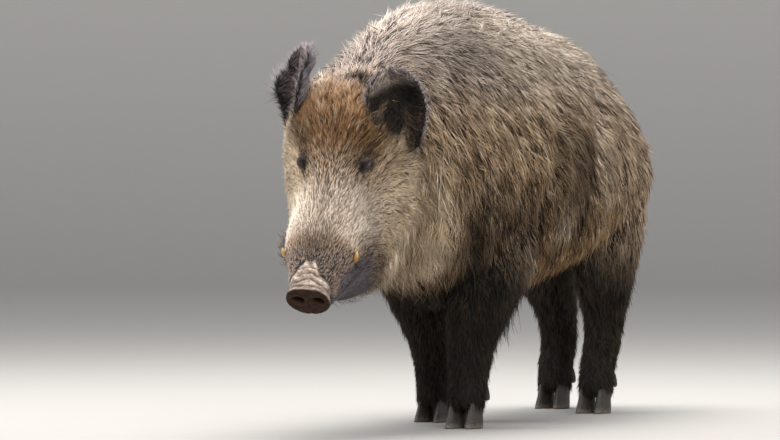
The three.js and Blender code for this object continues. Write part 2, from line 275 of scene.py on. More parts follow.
# %% Lights and world
def soft_box(name, at, towards, size, power, colour=(1, 1, 1)):
    light = bpy.data.objects.new(name, bpy.data.lights.new(name, "AREA"))
    light.data.shape = "RECTANGLE"
    light.data.size, light.data.size_y = size
    light.data.energy = power
    light.data.color = colour
    light.location = at
    light.rotation_euler = (Vector(towards) - Vector(at)).to_track_quat("-Z", "Y").to_euler()
    bpy.context.scene.collection.objects.link(light)


CHEST = (0, 0, 0.55)
soft_box("overhead", (-0.3, 0.6, 4.2), (0, 0.3, 0.6), (3.2, 3.2), 420, (1.0, 0.98, 0.96))
soft_box("front fill", (4.0, -4.3, 2.3), CHEST, (3.0, 2.6), 230, (1.0, 0.985, 0.965))
soft_box("left edge", (-3.2, -1.6, 2.4), CHEST, (1.6, 2.2), 75, (0.97, 0.98, 1.0))

world = bpy.data.worlds.new("room")
world.use_nodes = True
room = world.node_tree.nodes["Background"]
room.inputs["Color"].default_value = (0.93, 0.95, 1.0, 1)
room.inputs["Strength"].default_value = 0.95
bpy.context.scene.world = world

# %% [markdown]
# The head hangs nose down, so its folds are easiest to say in the head's own directions: ahead along the
# face to the nose, leftward, and up out of the forehead, from an origin midway between the eyes. The eye
# and nose solids give all of that. `head_place` turns any points into those directions.

# %% The head's own directions
EYES = {side: middle_of(f"eye_{side}") for side in ("left", "right")}
HEAD = (EYES["left"] + EYES["right"]) / 2
EYE_RADIUS = 12 * MM
NOSE_DROP = math.atan2(29, 306)  # the middle of the nose disc lies this far under the face line
leftward = unit(EYES["left"] - EYES["right"])
to_nose = middle_of("nose_disc") - HEAD
to_nose = unit(to_nose - leftward * (to_nose @ leftward))
upward = np.cross(to_nose, leftward)
ahead = to_nose * math.cos(NOSE_DROP) + upward * math.sin(NOSE_DROP)
upward = np.cross(ahead, leftward)
HEAD_AXES = np.array([leftward, ahead, upward])


def head_place(points):
    """Points as (leftward, ahead, upward) from between the eyes."""
    return (points - HEAD) @ HEAD_AXES.T


def head_way(x, y, z):
    """A direction given in the head's own terms, in the frame's."""
    return unit(np.array([x, y, z], float) @ HEAD_AXES)


print("head at", HEAD.round(3), "ahead", ahead.round(2), "up", upward.round(2))

# %% [markdown]
# The skin starts as the flesh solids, welded into one surface. A voxel remesh does the welding: it wraps
# everything in one closed sheet of small even quads, so the joints between neck, head, ears and legs
# vanish. Each solid is first grown by a hair's breadth, because the solids stand a little apart.

# %% Mesh helpers
def vertices_of(mesh):
    points = np.empty(len(mesh.vertices) * 3)
    mesh.vertices.foreach_get("co", points)
    return points.reshape(-1, 3)


def normals_of(mesh):
    normals = np.empty(len(mesh.vertices) * 3)
    mesh.vertex_normals.foreach_get("vector", normals)
    return normals.reshape(-1, 3)


def triangles_of(mesh):
    mesh.calc_loop_triangles()
    corners = np.empty(len(mesh.loop_triangles) * 3, np.int32)
    mesh.loop_triangles.foreach_get("vertices", corners)
    return corners.reshape(-1, 3)


def place_vertices(mesh, points):
    mesh.vertices.foreach_set("co", np.ascontiguousarray(points, np.float32).ravel())
    mesh.update()


def mesh_from(name, points, triangles):
    """A mesh of triangles straight from arrays, smooth shaded."""
    mesh = bpy.data.meshes.new(name)
    mesh.vertices.add(len(points))
    mesh.vertices.foreach_set("co", np.ascontiguousarray(points, np.float32).ravel())
    mesh.loops.add(triangles.size)
    mesh.loops.foreach_set("vertex_index", np.ascontiguousarray(triangles, np.int32).ravel())
    mesh.polygons.add(len(triangles))
    mesh.polygons.foreach_set("loop_start", np.arange(0, triangles.size, 3, dtype=np.int32))
    mesh.update(calc_edges=True)
    mesh.shade_smooth()
    return mesh


# %% Object helpers
def applied(obj, *changes):
    """The object's mesh with these modifiers applied, each given as (type, settings)."""
    for kind, settings in changes:
        modifier = obj.modifiers.new(kind.lower(), kind)
        for setting, value in settings.items():
            setattr(modifier, setting, value)
    now = bpy.context.evaluated_depsgraph_get()
    mesh = bpy.data.meshes.new_from_object(obj.evaluated_get(now), depsgraph=now)
    obj.modifiers.clear()
    old, obj.data = obj.data, mesh
    bpy.data.meshes.remove(old)
    return obj


def put(name, mesh, *materials):
    obj = bpy.data.objects.new(name, mesh)
    bpy.context.scene.collection.objects.link(obj)
    for material in materials:
        mesh.materials.append(material)
    return obj


def carry(mesh, name, values):
    """Writes one number a point, for the shader to read."""
    held = mesh.attributes.new(name, "FLOAT", "POINT")
    held.data.foreach_set("value", np.ascontiguousarray(values, np.float32).ravel())


def welded(node):
    """A node's vertices and triangles, with doubled vertices merged."""
    bm = bmesh.new()
    bm.from_mesh(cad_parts[node].data)
    bmesh.ops.remove_doubles(bm, verts=bm.verts, dist=WELD)
    bmesh.ops.triangulate(bm, faces=bm.faces)
    mesh = bpy.data.meshes.new(node)
    bm.to_mesh(mesh)
    bm.free()
    return mesh


# %% Weld the flesh into one sheet
LEGS = [f"{end}leg_{side}" for end in ("fore", "hind") for side in ("left", "right")]
FLESH = ["trunk", "neck", "head", "lower_jaw", "ear_left", "ear_right", "tail", *LEGS]
GROW = 0.6 * MM
WELD = 0.02 * MM  # closer vertices than this are one
FINE_VOXEL = 3.3 * MM
VOXEL = FINE_VOXEL

points, triangles, owner = [], [], []
for number, node in enumerate(FLESH):
    solid = welded(node)
    triangles.append(triangles_of(solid) + sum(len(p) for p in points))
    points.append(vertices_of(solid) + normals_of(solid) * GROW)
    owner += [number] * len(triangles[-1])
flesh_points = np.concatenate(points)
flesh_triangles = np.concatenate(triangles)
flesh_owner = np.array(owner)
flesh_tree = BVHTree.FromPolygons(flesh_points.tolist(), flesh_triangles.tolist())

skin = put("skin", mesh_from("skin", flesh_points, flesh_triangles))
applied(skin, ("REMESH", {"mode": "VOXEL", "voxel_size": VOXEL}))
print("welded sheet", len(skin.data.polygons), "faces")

# %% [markdown]
# Every later step asks which part of the animal a point belongs to: the head keeps its detail, legs keep
# their width, and each has its own hair. The nearest solid answers that for each vertex, and the answers
# are blurred over the sheet, so that one part's hair runs into the next one's.

# %% Neighbours, blurring and parts
class Neighbours:
    """Averages any values over each vertex's neighbours."""

    def __init__(self, mesh):
        edges = np.empty(len(mesh.edges) * 2, np.int64)
        mesh.edges.foreach_get("vertices", edges)
        both = np.concatenate([edges.reshape(-1, 2), edges.reshape(-1, 2)[:, ::-1]])
        both = both[np.argsort(both[:, 0], kind="stable")]
        self.other = both[:, 1]
        self.count = np.bincount(both[:, 0], minlength=len(mesh.vertices))
        self.start = np.minimum(np.cumsum(self.count) - self.count, len(both) - 1)

    def mean(self, values):
        total = np.add.reduceat(values[self.other], self.start, axis=0)
        count = self.count.reshape(-1, *[1] * (values.ndim - 1))
        return np.where(count > 0, total / np.maximum(count, 1), values)

    def blur(self, values, times, share=0.5):
        for _ in range(times):
            values = values + (self.mean(values) - values) * share
        return values


# %% Which part a point belongs to
GROUPS = {
    "head": ("head", "lower_jaw"),
    "ear": ("ear_left", "ear_right"),
    "leg": tuple(LEGS),
    "tail": ("tail",),
}


def parts_of(mesh, blur, head_blur):
    """For each group, how much each vertex belongs to it, from 0 to 1."""
    near = [flesh_tree.find_nearest(p)[2] for p in vertices_of(mesh)]
    names = np.array(FLESH)[flesh_owner[near]]
    around = Neighbours(mesh)
    rounds = {group: head_blur if group == "head" else blur for group in GROUPS}
    return {g: around.blur(np.isin(names, GROUPS[g]).astype(float), rounds[g]) for g in GROUPS}


part = parts_of(skin.data, 4, 40)
print({group: round(float(values.mean()), 3) for group, values in part.items()})

# %% [markdown]
# The solids are faceted, so the sheet is relaxed: each vertex moves towards the average of its
# neighbours, many times over on the barrel of the body, less on the head and the legs, and hardly at all
# on the thin ears. The creases where the legs meet the belly soften in the same pass.

# %% Relax the sheet
ROUNDS = {"body": 90, "head": 16, "leg": 26, "ear": 9, "tail": 8}
body = 1 - np.clip(sum(part.values()), 0, 1)
rounds = ROUNDS["body"] * body + sum(ROUNDS[group] * part[group] for group in part)
rounds = rounds * (FINE_VOXEL / VOXEL) ** 2
around = Neighbours(skin.data)
points = vertices_of(skin.data)
for step in range(int(rounds.max())):
    moving = np.clip(rounds - step, 0, 1)[:, None] * 0.5
    points = points + (around.mean(points) - points) * moving
place_vertices(skin.data, points)
print("relaxed", int(rounds.max()), "rounds")

# %% [markdown]
# How the coat grows is a set of rules on place: a boar's bristles are longest along the crest, shorter
# down the legs and shortest on the muzzle. The skin has to know them before the first hair is grown,
# because it lies inside the outline by the coat's own height. So one function gives length, lift and the
# rest for any points.

# %% Landmarks
def mouth_line(hy):
    """The height of the closed lips at a place along the face."""
    return -0.086 + 0.08 * (hy - 0.096)


SPINE_X = middle_of("trunk")[0]
BARREL = 0.25  # the body's roundness: a straight hair stands off a barrel of this radius
TAIL = [np.array(v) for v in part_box("tail")]
COLLAR = 0.4  # of its length, how far up a tuft bends


def back_of_jowl(z):
    """How far back the jowl ends at a height: the fold where the head's coat hangs over the neck."""
    heights = [0.33, 0.37, 0.42, 0.46, 0.50, 0.60]
    return np.interp(z, heights, [-0.325, -0.34, -0.37, -0.395, -0.42, -0.48])


def curl_at(points):
    """A patch of loose curled hair on the left flank, where the old coat is coming away."""
    x, y, z = points.T
    return bell(y, 0.06, 0.05) * bell(z + 0.2 * (y - 0.06), 0.455, 0.03) * (x > 0)


# %% Places round the eyes
SLIT_TILT = math.radians(33)  # the outer corner lies this far below the line back along the face


def eye_ways(side):
    """Out of the eye, towards its outer corner, and up to the brow."""
    sign = 1 if side == "left" else -1
    out = head_way(sign * 0.87, 0.28, 0.37)
    corner = head_way(0, -math.cos(SLIT_TILT), -math.sin(SLIT_TILT))
    corner = unit(corner - out * (corner @ out))
    brow = np.cross(out, corner) * sign
    return out, corner, brow if brow @ head_way(0, -0.5, 0.8) > 0 else -brow


def tear_at(points, spread=1.0):
    """The dark crease that runs down from each eye's inner corner, from 0 to 1."""
    crease = np.zeros(len(points))
    top, down = np.array([-14, 8]) * MM, np.array([-12, -26]) * MM
    for side in EYES:
        out, corner, brow = eye_ways(side)
        away = points - EYES[side]
        place = np.stack([away @ corner, away @ brow], axis=1) - top
        share = np.clip(place @ down / (down @ down), 0, 1)
        off = np.linalg.norm(place - share[:, None] * down, axis=1)
        crease = np.maximum(crease, bell(off, 0, (3.2 - 1.2 * share) * MM * spread) * (away @ out > -0.025))
    return crease


def from_eyes(points, flat=1.0):
    """How far each point is from the nearer eye; flat counts the way up to the brow that much more."""
    away = []
    for side in EYES:
        brow = eye_ways(side)[2]
        rest = points - EYES[side]
        away.append(np.linalg.norm(rest + brow * ((flat - 1) * (rest @ brow))[:, None], axis=1))
    return np.minimum(*away)


print("the eyes open towards", {side: eye_ways(side)[0].round(2).tolist() for side in EYES})

# %% Places on the ears
EAR_TURN = {"left": 26, "right": -27}  # how far each ear's hollow faces left of straight ahead, in degrees
EAR_MIDDLE = {side: middle_of(f"ear_{side}") for side in EAR_TURN}
EAR_HOLLOW, EAR_AXIS, EAR_BOWL = {}, {}, {}
for side, degrees in EAR_TURN.items():
    angle = math.radians(degrees)
    EAR_HOLLOW[side] = np.array([math.sin(angle), -math.cos(angle), 0])
    ear = vertices_of(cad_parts[f"ear_{side}"].data)
    height = (ear[:, 2] - ear[:, 2].min()) / np.ptp(ear[:, 2])
    EAR_AXIS[side] = unit(ear[height > 0.85].mean(0) - ear[height < 0.2].mean(0))
    to_head = unit((HEAD - EAR_MIDDLE[side]) * np.array([1, 0.3, 0]))
    foot = EAR_MIDDLE[side] + to_head * 0.018 - EAR_AXIS[side] * 0.030
    EAR_BOWL[side] = foot + EAR_HOLLOW[side] * 0.01


def hollow_at(points, normals):
    """How much a point lies in the hollow of an ear, and how near an ear's margin it is."""
    on_left = (points[:, 0] > HEAD[0])[:, None]
    facing = np.where(on_left, EAR_HOLLOW["left"][None], EAR_HOLLOW["right"][None])
    turned = (normals * facing).sum(1)
    return fade(turned, 0.15, 0.5), bell(turned, 0, 0.4)


def bowl_at(points):
    """How much a point of the head lies in the foot of an ear's bowl, where the ear's dark hair grows under
    painted shade.
    """
    away = np.minimum(*[np.linalg.norm(points - EAR_BOWL[side], axis=1) for side in EAR_BOWL])
    return fade(away, 0.042, 0.028)


def up_ear_at(points):
    """How far up the ear on its side a point lies, from that ear's middle."""
    up = {side: (points - EAR_MIDDLE[side]) @ EAR_AXIS[side] for side in EAR_TURN}
    return np.where(points[:, 0] > HEAD[0], up["left"], up["right"])


print("the ears stand up along", {side: axis.round(2).tolist() for side, axis in EAR_AXIS.items()})

# %% The coat's rules on the head and ears
def head_rules(points):
    """Short on the bridge, longer on brow and cheek, longest under the chin, and bald at the eyes."""
    _, hy, hz = head_place(points).T
    cheek = fade(hz, -0.04, -0.15) * fade(hy, 0.14, 0.02)
    ruff = fade(hy, 0.03, -0.08) * fade(hz, -0.05, -0.14)
    forehead = fade(hy, 0.03, -0.06) * fade(hz, -0.10, -0.02)
    chin = fade(hz, -0.13, -0.19) * fade(hy, 0.20, 0.10)
    from_ears = np.minimum(*[np.linalg.norm(points - EAR_MIDDLE[side], axis=1) for side in EAR_TURN])
    by_ears = fade(from_ears, 0.11, 0.07) * fade(hy, -0.19, -0.13)
    bald = (0.3 + 0.7 * fade(from_eyes(points), 0.013, 0.036)) * (1 - 0.8 * tear_at(points, 3.0))
    length = 0.009 + 0.006 * fade(hy, 0.2, 0.06)
    length = length + 0.015 * forehead + 0.024 * cheek + 0.022 * ruff + 0.034 * chin
    return {
        "length": length * bald * (1 - 0.45 * by_ears),
        "lift": 15 + 6 * forehead + 9 * cheek + 6 * ruff,
        "droop": 5 + 8 * cheek + 3 * ruff,
        "width": 1.2 + 0.5 * forehead + 0.8 * cheek + 0.3 * ruff,
        "plenty": 1.0,
    }


def ear_rules(points, normals):
    """Short, with a fringe on the margin and tufts on the right ear's outer lobe and tip."""
    hollow, margin = hollow_at(points, normals)
    up = up_ear_at(points)
    outer = fade(EAR_MIDDLE["right"][0] - points[:, 0], 0.0, 0.025)
    lobe = (points[:, 0] < HEAD[0]) * (0.2 * fade(up, 0.02, 0.05) + outer * bell(up, -0.005, 0.035))
    return {
        "length": 0.010 + 0.012 * margin + 0.006 * hollow + 0.018 * lobe,
        "lift": 15 + 26 * margin + 20 * lobe,
        "droop": 4.0,
        "width": 1.2,
        "plenty": 1.0,
    }


# %% The coat's rules on the body, legs and tail
def body_rules(points, normals):
    """Long bristles, longest along the crest and under the throat, and a little shorter on the rump."""
    x, y, _ = points.T
    facing_up = normals[:, 2]
    mane = bell(x, SPINE_X, 0.055) * fade(facing_up, 0.2, 0.8) * fade(y, 0.45, 0.0)
    belly = fade(facing_up, -0.2, -0.8)
    throat = fade(y, -0.28, -0.4) * fade(facing_up, 0.1, -0.5)
    return {
        "length": 0.050 + 0.020 * mane + 0.008 * belly + 0.022 * throat - 0.008 * fade(y, 0.55, 0.75),
        "lift": 20 + 5 * mane + 3 * throat,
        "droop": 14 + 3 * mane,
        "width": 1.95 + 0.3 * mane,
        "plenty": 1.0 + 0.25 * mane,
    }


def leg_rules(points, normals):
    """Shorter towards the hooves, with shaggy hair behind the forelegs and the hocks."""
    _, y, z = points.T
    behind = fade(normals[:, 1], 0.1, 0.8)
    shag = behind * bell(z, 0.25, 0.10) * fade(y, 0.35, 0.25)
    hock = behind * bell(z, 0.32, 0.10) * fade(y, 0.35, 0.45)
    low = np.interp(z, [0.05, 0.075, 0.10, 0.16, 0.24, 0.36, 0.46], [20, 17, 16, 22, 28, 36, 46]) * MM
    return {
        "length": low + 0.042 * shag + 0.012 * hock,
        "lift": 17 + 21 * shag + 8 * hock,
        "droop": 6 + 4 * shag,
        "width": np.interp(z, [0.05, 0.3], [1.3, 2.0]) + 0.3 * shag,
        "plenty": 1.0,
    }


def tail_rules(points):
    """Longer towards the tail's tassel."""
    tassel = fade(points[:, 2], TAIL[0][2] + 0.16, TAIL[0][2] + 0.05)
    return {
        "length": 0.022 + 0.034 * tassel,
        "lift": 14 + 4 * tassel,
        "droop": 8.0,
        "width": 2.0,
        "plenty": 1.0 + 0.6 * tassel,
    }


# %% The rules together
def coat_at(points, normals, part):
    """Length, lift, droop and width of the hair, and how much of it there is, at each point."""
    rules = {
        "body": body_rules(points, normals),
        "head": head_rules(points),
        "leg": leg_rules(points, normals),
        "ear": ear_rules(points, normals),
        "tail": tail_rules(points),
    }
    share = {group: part[group] for group in GROUPS}
    share["leg"] = share["leg"] * fade(points[:, 2], 0.56, 0.42)
    share["body"] = 1 - np.clip(sum(share.values()), 0, 1)
    total = sum(share.values())
    return {name: sum(share[g] / total * rules[g][name] for g in share) for name in rules["body"]}


def height_of(coat):
    """How high the coat's tips stand over the skin."""
    first = np.radians(coat["lift"])
    last = np.radians(coat["lift"] - coat["droop"])
    rise = COLLAR * np.sin(first) + (1 - COLLAR) * np.sin(last)
    return coat["length"] * rise + coat["length"] ** 2 / (2 * BARREL)


print("the tail's tassel hangs at", round(TAIL[0][2], 3))

# %% [markdown]
# Three folds are pressed into the sheet before it sinks, where any standing boar has them: at the back
# of the jowl, behind the shoulder and in front of the thigh. Each is a groove with a swelling before it.

# %% Folds at the jowl, the shoulder and the thigh
normals = normals_of(skin.data)
groove = np.interp(points[:, 2], [0.30, 0.41, 0.51, 0.62, 0.74], [-0.05, -0.07, -0.06, -0.02, 0.06])
on_side = fade(points[:, 2], 0.30, 0.38) * fade(points[:, 2], 0.80, 0.66)
on_side = on_side * fade(np.abs(normals[:, 2]), 0.9, 0.6)
on_side = on_side * np.clip(1 - part["head"] - part["ear"], 0, 1)
jowl_y = back_of_jowl(points[:, 2])
jowl_width = np.interp(points[:, 2], [0.26, 0.33, 0.40, 0.50], [0.06, 0.05, 0.04, 0.02])
under_ears = fade(points[:, 2], 0.52, 0.42)
jowl = 5 * MM * bell(points[:, 1], jowl_y - 0.07, 0.05) - 10 * MM * bell(points[:, 1], jowl_y, jowl_width)
jowl = around.blur(jowl * under_ears * fade(np.abs(normals[:, 2]), 0.95, 0.7), 25)
points = points + normals * jowl[:, None]
push = 8 * MM * bell(points[:, 1], groove - 0.08, 0.05) - 18 * MM * bell(points[:, 1], groove, 0.024)
push += 7 * MM * bell(points[:, 1], groove + 0.31, 0.06) - 11 * MM * bell(points[:, 1], groove + 0.23, 0.035)
points = points + normals * (push * on_side)[:, None]
place_vertices(skin.data, points)
print("folds up to", round(float(-(push * on_side).min()) / MM, 1), "mm deep")

# %% Sink the skin by the coat's height
normals = normals_of(skin.data)
coat = coat_at(points, normals, part)
on_back = fade(normals[:, 2], 0.2, 0.8) * bell(points[:, 1], 0.32, 0.16)
depth = around.blur(height_of(coat) * 0.92 + 0.3 * MM + 8 * MM * on_back, 20)
depth = np.where(part["ear"] > 0.5, 1.0 * MM, depth)
foot = fade(points[:, 2], 0.24, 0.10)
depth = around.blur(depth * (1 - 0.8 * foot), 4)
points = points - normals * depth[:, None]
points[:, 2] -= 8 * MM * fade(points[:, 2], 0.066, 0.054)  # the pastern reaches down over the hooves
place_vertices(skin.data, points)
print("coat height", (depth.min() / MM).round(1), "to", (depth.max() / MM).round(1), "mm")

# %% [markdown]
# Under a long coat the skin needs few faces, but the bare muzzle, lids and ears need many. A Decimate
# modifier thins the body only, steered by a vertex group, and then the faces near the eyes and on the
# muzzle are split.

# %% Spend the faces where skin shows
plain = skin.vertex_groups.new(name="under long coat")
weight = np.clip(1 - part["head"] - part["ear"], 0, 1)
for level in range(1, 5):
    chosen = np.nonzero(np.round(weight * 4) == level)[0]
    plain.add(chosen.tolist(), level / 4, "REPLACE")
FACES_LEFT = 0.16
thinning = {"ratio": FACES_LEFT, "vertex_group": plain.name, "vertex_group_factor": 8.0}
applied(skin, ("DECIMATE", thinning))
print("thinned to", len(skin.data.polygons), "faces")


# %% Finer faces at the eyes and the muzzle
def split(mesh, chosen):
    """Splits each face whose corners are all chosen into four."""
    bm = bmesh.new()
    bm.from_mesh(mesh)
    bm.verts.ensure_lookup_table()
    edges = [e for e in bm.edges if chosen[e.verts[0].index] and chosen[e.verts[1].index]]
    bmesh.ops.subdivide_edges(bm, edges=edges, cuts=1, use_grid_fill=True)
    bmesh.ops.triangulate(bm, faces=bm.faces)
    bm.to_mesh(mesh)
    bm.free()


def near_eye(points, reach):
    return from_eyes(points) < reach


def on_muzzle(points):
    hx, hy, hz = head_place(points).T
    roof = (hy > 0.228) & (hz > -0.045)
    lips = (hy > 0.10) & (np.abs(hz - mouth_line(hy)) < 0.011)
    return (roof | lips) & (hy < 0.32) & (np.abs(hx) < 0.14)


split(skin.data, near_eye(vertices_of(skin.data), 0.042))
split(skin.data, near_eye(vertices_of(skin.data), 0.027))
split(skin.data, on_muzzle(vertices_of(skin.data)))
around = Neighbours(skin.data)
points = vertices_of(skin.data)
fine = near_eye(points, 0.05) | on_muzzle(points)
for _ in range(4):
    points = points + (around.mean(points) - points) * (0.5 * fine)[:, None]
place_vertices(skin.data, points)
print("with fine faces", len(skin.data.polygons))

# %% [markdown]
# Now the sculpting. Each feature is a push along one direction, shaped by bells and fades in the head's
# own directions: the brow over the eye, the hollow round it, the lids as a thin dome over the eyeball
# with an almond opening. Inside the opening the skin drops behind the ball, so the ball shows and
# nothing pokes through.

# %% Lids, brows and eye hollows
LID = 1.3 * MM
OPENING = {"half_length": 12.8 * MM, "upper": 6.0 * MM, "lower": 4.6 * MM}


def opening_at(u, v):
    """How far inside the almond between the lids, in metres; negative outside it."""
    arch = 1 - (u / OPENING["half_length"]) ** 2
    return np.minimum(OPENING["upper"] * arch - v, v + OPENING["lower"] * arch)


def model_eye(points, side):
    out, corner, brow = eye_ways(side)
    away = points - EYES[side]
    u, v, w = away @ corner, away @ brow, away @ out
    across = np.hypot(u, v)
    here = (w > -0.02) & (across < 0.06)
    dome = (EYE_RADIUS + LID) * np.exp(-((across / (1.3 * EYE_RADIUS)) ** 2)) - 1.5 * MM
    ball = np.sqrt(np.maximum(EYE_RADIUS**2 - across**2, 0))
    target = np.maximum(dome, ball + LID * fade(across, 12 * MM, 9 * MM))
    rim = np.hypot(u / 1.0, v / 0.8)
    target = target + 0.7 * MM * np.sin(rim / MM * 1.35) * fade(rim, 9 * MM, 12 * MM)
    w_new = w + (target - w) * fade(across, 27 * MM, 13 * MM)
    w_new += 6.5 * MM * bell(v, 20 * MM, 8 * MM) * bell(u, -1 * MM, 20 * MM)
    w_new += 2.5 * MM * bell(v, -16 * MM, 6 * MM) * bell(u, 0, 18 * MM)
    w_new -= 2.5 * MM * bell(v, -3 * MM, 4 * MM) * bell(u, -19 * MM, 8 * MM)
    inside = fade(opening_at(u, v), -0.2 * MM, 0.7 * MM)
    w_new = w_new + (ball - 3.5 * MM - w_new) * inside
    return points + np.where(here, w_new - w, 0)[:, None] * out


points = vertices_of(skin.data)
for side in EYES:
    points = model_eye(points, side)
place_vertices(skin.data, points)
print("openings", round(2 * OPENING["half_length"] / MM, 1), "mm long")

# %% [markdown]
# The muzzle carries the mouth's long groove with a lip above and below it, a swelling over each canine
# tooth, and the loose skin that rucks up behind the nose disc. They are pushes along the skin's own
# normals.

# %% Lips, canine swellings and the rucked nose
def blotch(points, size, phase=0.0):
    """Smooth waves from 0 to 1 that never line up, for edges that aren't ruled."""
    x, y, z = (points / size).T
    wave = np.sin(x * 2.1 + 1.3 * np.sin(z * 1.7 + phase)) + np.sin(y * 1.9 + 1.1 * np.sin(x * 1.3 + phase))
    return 0.5 + (wave + np.sin(z * 2.3 + 1.2 * np.sin(y * 1.5 - phase))) / 6


def model_muzzle(points, normals):
    hx, hy, hz = head_place(points).T
    from_lips = hz - mouth_line(hy)
    along = fade(hy, 0.085, 0.125) * fade(hy, 0.285, 0.262)
    push = -4.0 * MM * bell(from_lips, 0, 2.4 * MM) * along
    push += 2.2 * MM * bell(from_lips, 8 * MM, 6 * MM) * along
    push += 1.6 * MM * bell(from_lips, -9 * MM, 6 * MM) * along
    canine = np.sqrt((np.abs(hx) - 0.066) ** 2 + (hy - 0.196) ** 2 + ((hz + 0.052) / 1.2) ** 2)
    push += 5.0 * MM * bell(canine, 0, 19 * MM)
    roof = fade(hy, 0.222, 0.242) * fade(hy, 0.296, 0.288) * fade(hz, -0.045, -0.02)
    wander = 0.0022 * np.sin(hx * 150 + 1) + 0.0012 * np.sin(hx * 390 + hy * 200)
    for at, half, high in ((0.252, 0.012, 6.0), (0.264, 0.022, 7.0), (0.276, 0.033, 4.5)):
        arched = hy + wander - at - 7 * hx**2
        ends = fade(np.abs(hx), half + 0.007, half - 0.005)
        push += high * MM * bell(arched, 0, 0.0046) * ends
        push -= 3.4 * MM * bell(arched, 0.0066, 0.0019) * ends
        push -= 2.2 * MM * bell(arched, 0, 0.006) * bell(hx, 0.001, 0.0035)
    push += 0.5 * MM * np.sin((hy + 0.5 * hx) * 2 * math.pi / 0.0052) * roof * bell(hx, 0, 0.03)
    push += 2.2 * MM * (blotch(points, 0.003) - 0.5) * roof
    sides = fade(hy, 0.12, 0.16) * fade(hy, 0.25, 0.22) * fade(hz, 0.0, -0.02) * fade(hz, -0.075, -0.055)
    push += 0.8 * MM * np.sin((hz + 0.3 * hy) * 2 * math.pi / 0.011) * sides
    bridge = fade(hy, 0.02, 0.06) * fade(hy, 0.20, 0.15) * fade(hz, -0.03, 0.0)
    push -= 2.5 * MM * bridge * bell(np.abs(hx), 0.048, 0.014)
    push -= 2.0 * MM * tear_at(points)
    return points + normals * push[:, None]


# %% The right ear's nick and tip
def model_right_ear(points):
    """The right ear has a nick in its outer edge, and its tip leans outwards."""
    axis = EAR_AXIS["right"]
    away = points - EAR_MIDDLE["right"]
    up = away @ axis
    off = away - up[:, None] * axis
    near = fade(np.linalg.norm(off, axis=1), 0.075, 0.055)
    outer = fade(-away[:, 0], 0.0, 0.025)
    aside = (12 * MM * fade(up, 0.024, 0.040) - 9 * MM * bell(up, 0.002, 0.02)) * outer
    wider = off[:, 0] * 0.3 * fade(up, 0.03, 0.06)
    return points + np.array([1.0, 0, 0]) * ((aside + wider) * near)[:, None]


points = model_muzzle(points, normals_of(skin.data))
points = model_right_ear(points)
place_vertices(skin.data, points)
part = parts_of(skin.data, 6, 16)
normals = normals_of(skin.data)
around = Neighbours(skin.data)
print("skin", len(points), "points,", len(skin.data.polygons), "faces")

# %% [markdown]
# A boar's colours change by place: a pale saddle on the nose bridge, slate lips and ears, black-brown
# legs, an ochre fringe under belly and jowl, and a greyer back. Each is a share from 0 to 1 at any
# point, so it can be worked out region by region and put together at the end. The skin and every tuft
# carry the answers, so a tuft always matches the skin that it grows from.
# Some markings are painted light: painted shade in the ear hollows and folds, behind and under the jowl and
# partly on the chest, and a painted highlight on the back and the left ear's top.

# %% Places that the markings share
def places_at(points, normals, part):
    """What every marking asks about a point, worked out once. ragged makes the edges of colours wander."""
    hx, hy, hz = head_place(points).T
    x, y, z = points.T
    ragged = 0.02 * (blotch(points, 0.012) - 0.5) + 0.03 * (blotch(points, 0.03, 2.0) - 0.5)
    hollow, margin = hollow_at(points, normals)
    return SimpleNamespace(
        points=points, normals=normals, head=part["head"], ear=part["ear"], leg=part["leg"],
        hx=hx, hy=hy, hz=hz, x=x, y=y, z=z, out=np.abs(hx), ragged=ragged, along=hy + ragged,
        past_jowl=y + ragged - back_of_jowl(z), off_head=1 - part["head"], hollow=hollow, margin=margin,
    )


def whole(share):
    """Keeps a share between 0 and 1."""
    return np.clip(share, 0, 1)


# %% Markings of the face
def face_marks(at):
    """The pale bridge, the rusty brow and snout, the slate lips and the bare skin behind the nose."""
    out, along, hx, hy, hz = at.out, at.along, at.hx, at.hy, at.hz
    bridge = 0.78 * fade(along, 0.035, 0.10) * fade(along, 0.20, 0.15) * fade(hz, -0.09, -0.02)
    edge = bell(out + at.ragged / 2, 0.062, 0.016) * fade(along, 0.05, 0.09)
    edge = edge * fade(along, 0.19, 0.165) * fade(hz, -0.07, -0.02)
    under_eye = bell(along, 0.09, 0.05) * bell(hz + at.ragged, -0.075, 0.045) * fade(out, 0.03, 0.06)
    whisker_bed = bell(along, 0.135, 0.03) * bell(hz + at.ragged, -0.052, 0.022) * fade(out, 0.04, 0.06)
    pale = at.head * whole(bridge + 0.6 * edge + 0.45 * under_eye + whisker_bed)
    bowl = bowl_at(at.points) * whole(at.head * 1.5)
    snout = at.head * bell(along, 0.205, 0.042) * bell(hx, 0, 0.044) * fade(hz, -0.05, 0)
    rusty = at.head * fade(hy, 0.05, -0.02) * fade(hz, -0.10, -0.03) * fade(along, -0.20, -0.11)
    rusty = whole(rusty + 0.45 * snout) * (1 - bowl)
    lips = fade(along, 0.16, 0.19) * fade(hz + at.ragged, -0.035, -0.062) * (1 - 0.8 * whisker_bed)
    chin = fade(hz, -0.14, -0.19) * fade(hy, 0.15, 0.20)
    slate = whole(at.head * (lips + chin + 0.45 * fade(along, 0.19, 0.235)))
    wide = np.interp(hy, [0.244, 0.262, 0.285], [0.013, 0.024, 0.045])
    bare = at.head * fade(along, 0.238, 0.250) * fade(hz, -0.045, -0.015)
    bare = bare * fade(out + at.ragged / 2, wide + 0.005, wide - 0.006)
    # painted shade: each crease of the rucked nose shows less of the pale bare colour
    arch = hy + 0.0022 * np.sin(hx * 150 + 1) - 7 * hx**2
    creases = np.maximum.reduce([bell(arch, place, 0.0015) for place in (0.2586, 0.2706, 0.2826)])
    bare = bare * (1 - 0.65 * creases)
    return {"pale": pale, "bowl": bowl, "snout": snout, "rusty": rusty, "slate": slate, "bare": bare}


